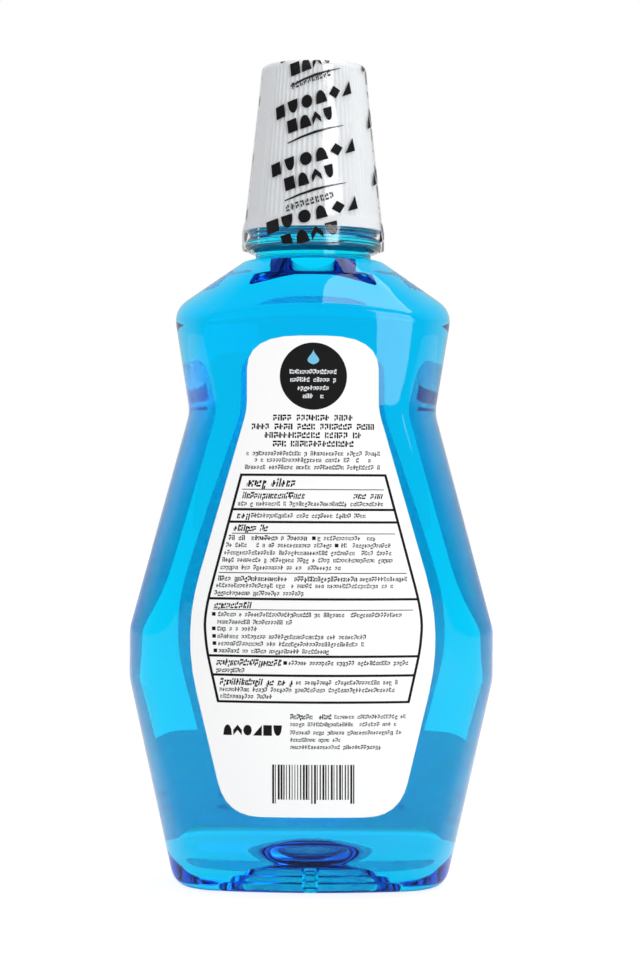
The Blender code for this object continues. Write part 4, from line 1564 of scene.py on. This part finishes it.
@dataclass
class Label:
    """A label that follows a panel's cylinder, and the ink on it, gathered by finish.

    facing is -1 for the back label, which the camera sees, and 1 for the front one. across runs to
    the right as each label is read.
    """

    bottle: Bottle
    name: str
    node: str
    facing: int
    corners: Corners
    shift: float = 0.0
    tilt: float = 0.0
    tilt_about: float = 127.6 * MM
    gap: float = 0.02 * MM
    thickness: float = 0.13 * MM
    ink_height: float = 0.02 * MM
    columns: int = 32
    paper: Finish = PAPER

    def __post_init__(self) -> None:
        """Start with no ink, and a random draw seeded by the length of the label's name."""
        self.inks: dict[str, tuple[Finish, list[np.ndarray]]] = {}
        self.rng = np.random.default_rng(len(self.name))

    def lay(self, across: np.ndarray, up: np.ndarray, proud: float) -> np.ndarray:
        """Points at a distance over the panel, whose section is an arc of the panel's radius.

        The label was laid on with a slight tilt, so across shifts with the height.

        Args:
            across: Places across the label.
            up: Heights.
            proud: The distance over the panel.

        Returns:
            The points.
        """
        across = across - self.tilt * (up - self.tilt_about)
        radius = self.bottle.panel_radius + proud
        depth = self.bottle.half_depth + proud - (radius - np.sqrt(radius**2 - across**2))
        return np.stack((-self.facing * across, self.facing * depth, up), axis=-1)

    def edge(self) -> np.ndarray:
        """The label's right edge as (half width, height), from its foot to its top.

        Returns:
            The points. The level lines at the foot and the top keep only the points at their ends.
        """
        line = outline(self.corners, spacing=1.2 * MM)
        level = (line[:, 1] > self.corners[0][1]) & (line[:, 1] < self.corners[-1][1])
        first, last = np.flatnonzero(level)[[0, -1]]
        return line[first - 1 : last + 2]

    def sheet(self) -> None:
        """Make the label: rows across between its left and its right edge, up from its foot."""
        edge = self.edge()
        across = self.shift + edge[:, :1] * np.linspace(-1, 1, self.columns + 1)
        up = edge[:, 1:] + 0 * across
        back, front = self.gap, self.gap + self.thickness
        sheet = Surface.slab(self.lay(across, up, front), self.lay(across, up, back))
        item = sheet.piece(self.name, Body.BOTTLE, Slot.LABEL, [self.paper])
        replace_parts(item, self.node)

    def ink(self, finish: Finish, curves: np.ndarray) -> None:
        """Add patches of ink, which lie on the paper, or pale ones over other ink."""
        self.inks.setdefault(finish.name, (finish, []))[1].append(curves)

    def row(self, lettering: Lettering, left: float, right: float, foot: float) -> None:
        """Add a greeked row of marks, in words of uneven length.

        The marks stand at an even pitch. Some are left out as the spaces between words, and some
        rise over or hang under the others, but for capitals, which are all as tall as the row.

        Args:
            lettering: The row's kind.
            left: Its left end, in millimetres.
            right: Its right end, in millimetres.
            foot: The height of its middle, in millimetres.
        """
        rising, hanging, spaces, low, under_share = 0.65, 0.1, 0.12, 0.76, 0.25
        narrow, wide = 0.85, 1.1
        style = lettering.value
        count = max(2, round((right - left) * MM / style.pitch))
        starts = left * MM + np.arange(count) * (right - left) * MM / count
        chance = self.rng.random(count)
        capital = lettering is Lettering.CAPITALS
        full = np.where((chance > rising) | capital, 1.0, low) * style.height
        under = np.where((chance < hanging) & (not capital), under_share, 0.0) * style.height
        level = foot * MM - style.height / 2
        widths = style.pitch * style.stroke * self.rng.uniform(narrow, wide, count)
        cells = np.column_stack((starts, starts + widths, level - under, level + full))
        spaced = self.rng.random(count) > spaces
        spaced[0] = spaced[-1] = True
        self.ink(style.ink, marks(cells[spaced], self.rng, style.lean))

    def rule(self, left: float, right: float, up: float, thick: float) -> None:
        """Add a level rule, its ends, height and thickness in millimetres."""
        box = np.array([[left, right, up - thick / 2, up + thick / 2]]) * MM
        self.ink(BLACK_INK, bars(box, steps=24))

    def bullet(self, left: float, up: float) -> None:
        """Add a square bullet at a left edge and a row's middle, in millimetres.

        Args:
            left: The bullet's left edge.
            up: The height of the row's middle.
        """
        size, drop_under = 1.1, 0.6
        box = np.array([[left, left + size, up - drop_under, up - drop_under + size]]) * MM
        self.ink(BLACK_INK, bars(box))

    def press(self) -> None:
        """Lay the gathered ink on the label, one piece for each finish."""
        for finish, groups in self.inks.values():
            foot = self.gap + self.thickness + self.ink_height * (finish in (PALE_INK, SKY_INK))
            parts = [Surface.patches(g, self.lay, foot, foot + self.ink_height) for g in groups]
            name = f"{self.name}_{finish.name}"
            Surface.joined(parts).piece(name, Body.BOTTLE, Slot.LABEL, [finish])


@dataclass(frozen=True)
class LabelOutline:
    """The labels' outlines: the panel's creases drawn in by a margin, with rounded corners."""

    bottle: Bottle
    margin: float = 10 * MM
    top_margin: float = 9.4 * MM
    foot: float = 25.2 * MM
    foot_taper: float = 2.8 * MM
    corner: float = 10.5 * MM
    top_corner: float = 16 * MM
    belly_bend: float = 18.5 * MM
    waist_bend: float = 3 * MM
    banner_foot: float = 15.5 * MM
    banner_top: float = 46.7 * MM
    banner_slope: float = 0.4 * MM
    banner_margin: float = 4.2 * MM
    banner_corner: float = 5 * MM
    notch_corner: float = 2 * MM

    def crease(self, height: float) -> float:
        """The half width between the panel's creases at a height, straight between its bends.

        Args:
            height: The height.

        Returns:
            The half width there.
        """
        b = self.bottle
        heights = (0, b.lower_rise, b.belly, b.waist, b.shoulder)
        foot, belly = b.foot_half_width - b.foot_crown, b.belly_half_width - b.belly_crown
        waist = b.waist_half_width - b.waist_crown
        return float(np.interp(height, heights, (foot, belly, belly, waist, waist)))

    def foot_half_width(self, height: float) -> float:
        """The back label's half width at a height under the belly.

        Args:
            height: The height.

        Returns:
            The half width there, on a straight line from foot to belly.
        """
        foot = self.crease(self.foot) - self.margin - self.foot_taper
        belly = self.crease(self.bottle.belly) - self.margin
        return foot + (belly - foot) * (height - self.foot) / (self.bottle.belly - self.foot)

    def upper(self) -> Corners:
        """The corners that both labels share, from the belly up.

        Returns:
            The corners, as (half width, height, rounding reach).
        """
        b = self.bottle
        top = b.shoulder - b.arch_drop - self.top_margin
        waist = self.crease(b.waist) - self.margin
        belly = self.crease(b.belly) - self.margin
        return [
            (belly, b.belly, self.belly_bend),
            (waist, b.waist, self.waist_bend),
            (waist, top, self.top_corner),
            (-waist, top, 0),
        ]

    def back(self) -> Corners:
        """The back label's corners."""
        half = self.foot_half_width(self.foot)
        return [(-half, self.foot, 0), (half, self.foot, self.corner), *self.upper()]

    def front(self) -> Corners:
        """The front label's corners: the back's, with a wider band, the banner, across its foot.

        Returns:
            The corners, as (half width, height, rounding reach).
        """
        low = self.crease(self.banner_foot) - self.banner_margin
        high = self.crease(self.banner_top) - self.banner_margin
        return [
            (low - 2 * self.banner_corner, self.banner_foot, 0),
            (low, self.banner_foot, self.banner_corner),
            (high, self.banner_top, self.notch_corner),
            (self.foot_half_width(self.banner_top), self.banner_top + self.banner_slope, 0),
            *self.upper(),
        ]


class BackLabel(Label):
    """The label that faces the camera: a round badge, rows of greeked text and a ruled box.

    Its print's places are in millimetres, and middle is the middle of the print.
    """

    middle: float = 0.4

    def badge(self) -> None:
        """Lay the round badge, with a drop and four pale rows."""
        self.ink(BLACK_INK, disc(self.middle * MM, 159.1 * MM, 10.2 * MM))
        self.ink(SKY_INK, drop(self.middle * MM, 165 * MM, 4.6 * MM))
        for half, up in ((7.2, 160.5), (7.0, 158.1), (4.8, 155.6), (3.2, 153.1)):
            self.row(Lettering.PALE, self.middle - half, self.middle + half, up)

    def notices(self) -> None:
        """Lay the heavy and the plain rows over the box."""
        for left, right, up in (
            (-11.8, 12.5, 146.5), (-18.3, 19.1, 143.8), (-14.4, 15.2, 141.2), (-11.9, 12.7, 138.6),
        ):
            self.row(Lettering.CAPITALS, left, right, up)
        for left, right, up in ((-19.9, 20.8, 135.7), (-17.4, 18.0, 133.7), (-20.4, 20.7, 131.5)):
            self.row(Lettering.PLAIN, left, right, up)

    def box(self) -> None:
        """Lay the box that follows the label's outline, and the rules across it."""
        edge = outline([
            (21.9 * MM, 129.1 * MM, 0),
            (33.4 * MM, 86.4 * MM, 9 * MM),
            (32.6 * MM, 76 * MM, 4 * MM),
            (29 * MM, 60 * MM, 0),
        ])
        thick, heavy, fine = 0.4 * MM, 0.72, 0.25
        for side in (-1, 1):
            line = np.column_stack((self.middle * MM + side * edge[:, 0], edge[:, 1]))[::-1]
            right, left = line + (thick, 0), line - (thick, 0)
            self.ink(BLACK_INK, np.stack((right, left))[None])
        for left, right, up in (
            (-21.9, 22.6, 129.1), (-24.4, 25.1, 118.6), (-25.4, 26.1, 114.8), (-31.6, 32.4, 91.4),
            (-31.7, 32.5, 74), (-30.3, 31.2, 68.2), (-28.9, 29.7, 60.1),
        ):
            self.rule(left, right, up, heavy)
        for left, right, up in (
            (-21.2, 21.8, 124.7), (-24.4, 25.3, 111.3), (-28.4, 28.8, 99.3), (-30.1, 30.8, 88.1),
        ):
            self.rule(left, right, up, fine)

    def box_rows(self) -> None:
        """Lay the headings, the bullets and the plain rows in the box."""
        title, head, bold, plain = (
            Lettering.TITLE, Lettering.HEADING, Lettering.BOLD, Lettering.PLAIN,
        )
        for kind, left, right, up in (
            (title, -20.1, -5.2, 126.8), (head, -21.4, -2.2, 122.9), (head, 12.4, 21.4, 122.9),
            (plain, -22.5, 21.8, 120.4), (head, -23.1, -19, 116.8), (plain, -18.5, 16.5, 116.8),
            (head, -24.1, -13.7, 113), (bold, -25.3, -1.5, 110), (plain, 1.7, 19.5, 110),
            (plain, -26.1, 6.2, 107.8), (plain, 8.8, 24, 107.8), (plain, -26.7, 24.3, 105.5),
            (plain, -27.3, 24.7, 103.3), (plain, -27.9, 8.8, 101), (bold, -28.6, 13.8, 97.6),
            (plain, 14.5, 29.1, 97.6), (plain, -29.2, 24.8, 95.5), (plain, -29.7, -2.4, 93.2),
            (head, -30, -18.7, 89.5), (plain, -28.6, 27.4, 86.7), (plain, -28.9, -6, 84.4),
            (plain, -28.9, -16.6, 82.3), (plain, -28.8, 16.5, 80), (plain, -28.6, 15.9, 77.8),
            (plain, -28.4, 5.2, 75.6), (head, -29.3, -9.5, 72.1), (plain, -7.1, 29.4, 72.1),
            (plain, -29.2, -20.4, 69.7), (head, -28.3, -6, 66.2), (plain, -4.9, 26.2, 66.2),
            (plain, -28.2, 25.3, 63.9), (plain, -27.9, -12, 61.8),
        ):
            self.row(kind, left, right, up)
        for left, up in (
            (0, 110), (6.9, 107.8), (-30.5, 86.7), (-30.5, 82.3), (-30.4, 80), (-30.3, 77.8),
            (-30, 75.6), (-8.7, 72.1),
        ):
            self.bullet(left, up)

    def foot(self) -> None:
        """Lay a row of plain shapes, the small rows and the bars under the box."""
        picks = [Shape.DOME, Shape.ROOF, Shape.DISC, Shape.RAMP, Shape.SLAB, Shape.BOWL]
        pitch, wide, tall = 3.05, 2.6 * MM, 3.2 * MM
        starts = (-27 + pitch * np.arange(len(picks))) * MM
        level = np.full(len(picks), 49.9 * MM)
        cells = np.column_stack((starts, starts + wide, level, level + tall))
        self.ink(BLACK_INK, shapes(cells, picks))
        self.row(Lettering.BOLD, -6.6, 6, 55.8)
        for left, right, up in (
            (6.8, 28.7, 55.8), (-6.6, 25.8, 53.5), (-6.6, 27.3, 51), (-6.6, 8.8, 48.8),
            (-6.6, 21.1, 46.6),
        ):
            self.row(Lettering.SMALL, left, right, up)
        count, span, left, top = 30, 25.4 * MM, -12.1 * MM, 41.2 * MM
        pitch = span / count
        starts = left + np.arange(count) * pitch
        widths = pitch * self.rng.choice((0.3, 0.45, 0.7), count)
        guard = np.isin(np.arange(count), (0, 1, 14, 15, 28, 29))
        low = np.where(guard, 29.4, 30.6) * MM
        self.ink(BLACK_INK, bars(np.column_stack((starts, starts + widths, low, low * 0 + top))))

    def build(self) -> None:
        """Make the label and its print."""
        self.sheet()
        self.badge()
        self.notices()
        self.box()
        self.box_rows()
        self.foot()
        self.press()


class FrontLabel(Label):
    """The label on the far side: a plain design of a drop between bars and greeked rows."""

    def build(self) -> None:
        """Make the label and its print."""
        self.sheet()
        self.ink(SKY_INK, drop(0.0, 118 * MM, 44 * MM, steps=40))
        upper = np.array([[-16, 16, 156, 161], [-13, 13, 149, 152]]) * MM
        lower = np.array([[-26, 26, 74, 79], [-22, 22, 66, 69]]) * MM
        self.ink(NAVY_INK, bars(upper, steps=10))
        self.ink(NAVY_INK, bars(lower, steps=16))
        self.row(Lettering.BOLD, -20, 20, 60)
        self.row(Lettering.PLAIN, -24, 24, 56)
        for up in (30, 26, 22):
            self.row(Lettering.PLAIN, -26, 26, up)
        self.press()


# Studio


@dataclass(frozen=True)
class Lamp:
    """A soft area lamp that faces the bottle's middle."""

    name: str
    place: tuple[float, float, float]
    size: tuple[float, float]
    power: float


@dataclass(frozen=True)
class Ramp:
    """A level that goes from low to high while what it follows goes from start to end."""

    start: float
    end: float
    low: float
    high: float

    def inputs(self, followed: bpy.types.NodeSocket) -> Inputs:
        """The inputs of a node that gives the level."""
        ends = {"From Min": self.start, "From Max": self.end}
        return ends | {"To Min": self.low, "To Max": self.high, "Value": followed}


@dataclass(frozen=True)
class Studio:
    """The pale floor, the white surround, the lamps and the camera at the photograph's view.

    room and mirrored_room are the surround's strength where it lights and where it is mirrored, by
    the direction's share towards the back. shadow is a painted shadow: the floor's glow by the
    distance from a place behind the bottle, where it is seen through the bottle.
    """

    distance: float = 793 * MM
    height: float = 127.6 * MM
    roll: float = -0.005
    focal_pixels: float = 2502.5
    centre_pixels: float = 312.055
    frame_pixels: tuple[int, int] = (640, 960)
    sensor: float = 36.0
    bounces: int = 28
    room: Ramp = Ramp(-0.6, 0.4, 0.8, 1.0)
    mirrored_room: Ramp = Ramp(-0.1, 0.9, 0.12, 0.55)
    floor_size: float = 8.0
    floor_drop: float = 0.1 * MM
    floor_tone: float = 0.8
    shadow_tone: float = 0.22
    floor_glow: float = 0.86
    # A painted shadow: the floor's glow seen through the bottle is dimmer close behind it.
    shadow: Ramp = Ramp(60 * MM, 240 * MM, 0.3, 0.86)
    painted_shadow_behind: float = 70 * MM
    lamps: tuple[Lamp, ...] = (
        Lamp("key", (0.588, -0.924, 0.42), (0.48, 0.5), 3.4),
        Lamp("top", (0.34, 0.0, 1.25), (0.62, 0.6), 5.0),
    )

    def camera(self) -> None:
        """Set the camera up at its measured place, with a slight roll and the photo's shift."""
        width, tall = self.frame_pixels
        data = bpy.data.cameras.new("photo_view")
        data.sensor_width = self.sensor
        data.lens = self.focal_pixels / tall * self.sensor
        data.shift_x = (width / 2 - self.centre_pixels) / tall
        camera = bpy.data.objects.new("photo_view", data)
        camera.location = (0.0, -self.distance, self.height)
        camera.rotation_euler = (math.pi / 2, self.roll, 0.0)
        bpy.context.scene.collection.objects.link(camera)
        bpy.context.scene.camera = camera

    def seen(self, tree: bpy.types.NodeTree) -> tuple[bpy.types.Node, bpy.types.NodeSocket]:
        """Add the nodes that tell rays that show the background from rays that light the bottle.

        Args:
            tree: The node tree to add to.

        Returns:
            The Light Path node, and 1 for camera and transmitted rays.
        """
        path = add(tree, "LightPath", {})
        rays = {0: path.outputs["Is Camera Ray"], 1: path.outputs["Is Transmission Ray"]}
        return path, add(tree, "Math", rays, "MAXIMUM").outputs[0]

    def surround(self) -> None:
        """White where it is seen.

        Where it lights or is mirrored, it eases from a dimmer room in front to a white backdrop
        behind.
        """
        world = bpy.data.worlds.new("white_surround")
        bpy.context.scene.world = world
        world.use_nodes = True
        tree = world.node_tree
        path, seen = self.seen(tree)
        place = add(tree, "TexCoord", {})
        back = add(tree, "SeparateXYZ", {"Vector": place.outputs["Generated"]}).outputs["Y"]
        lit, mirrored = (
            add(tree, "MapRange", ramp.inputs(back)).outputs["Result"]
            for ramp in (self.room, self.mirrored_room)
        )
        glossy = {"Factor": path.outputs["Is Glossy Ray"], "A": lit, "B": mirrored}
        unseen = add(tree, "Mix", glossy).outputs["Result"]
        shown = add(tree, "Mix", {"Factor": seen, "A": unseen, "B": 1.0}).outputs["Result"]
        fill(tree, tree.nodes["Background"], {"Color": grey(1.0), "Strength": shown})

    def floor(self) -> None:
        """Lay the pale floor just under the bottle.

        Where it is seen it is a grey lit by the lamps plus a glow, which add up to white but for
        the shadow. The glow is weaker where it is seen through the bottle and close behind it, as a
        painted shadow.
        """
        half = self.floor_size / 2
        corners = [(-half, -half), (half, -half), (half, half), (-half, half)]
        mesh = bpy.data.meshes.new("studio_floor")
        mesh.from_pydata([(x, y, -self.floor_drop) for x, y in corners], [], [(0, 1, 2, 3)])
        made = bpy.data.materials.new("pale_floor")
        made.use_nodes = True
        tree = made.node_tree
        tree.nodes.remove(tree.nodes["Principled BSDF"])
        path, seen = self.seen(tree)
        plain, shade = (
            add(tree, "BsdfDiffuse", {"Color": grey(tone)}).outputs["BSDF"]
            for tone in (self.floor_tone, self.shadow_tone)
        )
        place = add(tree, "TexCoord", {})
        # Painted shadow: the glow seen through the bottle is dimmer near a place behind it.
        ends = {0: place.outputs["Object"], 1: (0.0, self.painted_shadow_behind, 0.0)}
        away = add(tree, "VectorMath", ends, "DISTANCE").outputs["Value"]
        shadow = add(tree, "MapRange", self.shadow.inputs(away))
        shadow.interpolation_type = "SMOOTHSTEP"
        through = {"Factor": path.outputs["Is Transmission Ray"], "A": self.floor_glow}
        level = add(tree, "Mix", through | {"B": shadow.outputs["Result"]}).outputs["Result"]
        glow = add(tree, "Emission", {"Strength": level}).outputs["Emission"]
        both = add(tree, "AddShader", {0: shade, 1: glow}).outputs["Shader"]
        pick = add(tree, "MixShader", {0: seen, 1: plain, 2: both}).outputs["Shader"]
        fill(tree, tree.nodes["Material Output"], {"Surface": pick})
        mesh.materials.append(made)
        item = bpy.data.objects.new("studio_floor", mesh)
        bpy.context.scene.collection.objects.link(item)

    def light(self, lamp: Lamp) -> None:
        """Hang a lamp, turned to face the middle of the bottle.

        Args:
            lamp: The lamp's name, place, size and power.
        """
        data = bpy.data.lights.new(lamp.name, "AREA")
        data.shape = "RECTANGLE"
        data.size, data.size_y = lamp.size
        data.energy = lamp.power
        item = bpy.data.objects.new(lamp.name, data)
        item.location = lamp.place
        middle = (CAD_BOX[0] + CAD_BOX[1]) / 2
        item.rotation_euler = (middle - item.location).to_track_quat("-Z", "Y").to_euler()
        bpy.context.scene.collection.objects.link(item)

    def build(self) -> None:
        """Set up the view, the surround, the floor and the lamps.

        Light crosses six skins to reach the far label and six to come back, and the liquid mirrors
        it inside too, so it may bounce more often than by default, and isn't blurred on the way.
        """
        scene = bpy.context.scene
        scene.view_settings.view_transform = "Standard"
        scene.cycles.max_bounces = scene.cycles.transmission_bounces = self.bounces
        scene.cycles.blur_glossy = 0.0
        self.camera()
        self.surround()
        self.floor()
        for lamp in self.lamps:
            self.light(lamp)


def main() -> None:
    """Build the studio and every sub-assembly."""
    logging.basicConfig(level=logging.INFO, format="%(message)s")
    Studio().build()
    bottle = Bottle()
    bottle.build()
    Rinse(bottle).build()
    cap = Cap(bottle)
    cap.build()
    DosingCup(cap).build()
    dress_gasket()
    Neckband(cap).build()
    outlines = LabelOutline(bottle)
    laid = {"shift": 0.23 * MM, "tilt": 0.005}
    BackLabel(bottle, "label_back", "back_label", -1, outlines.back(), **laid).build()
    front = FrontLabel(
        bottle, "label_front", "front_label", 1, outlines.front(), paper=THIN_PAPER
    )
    front.build()


if __name__ == "__main__":
    main()
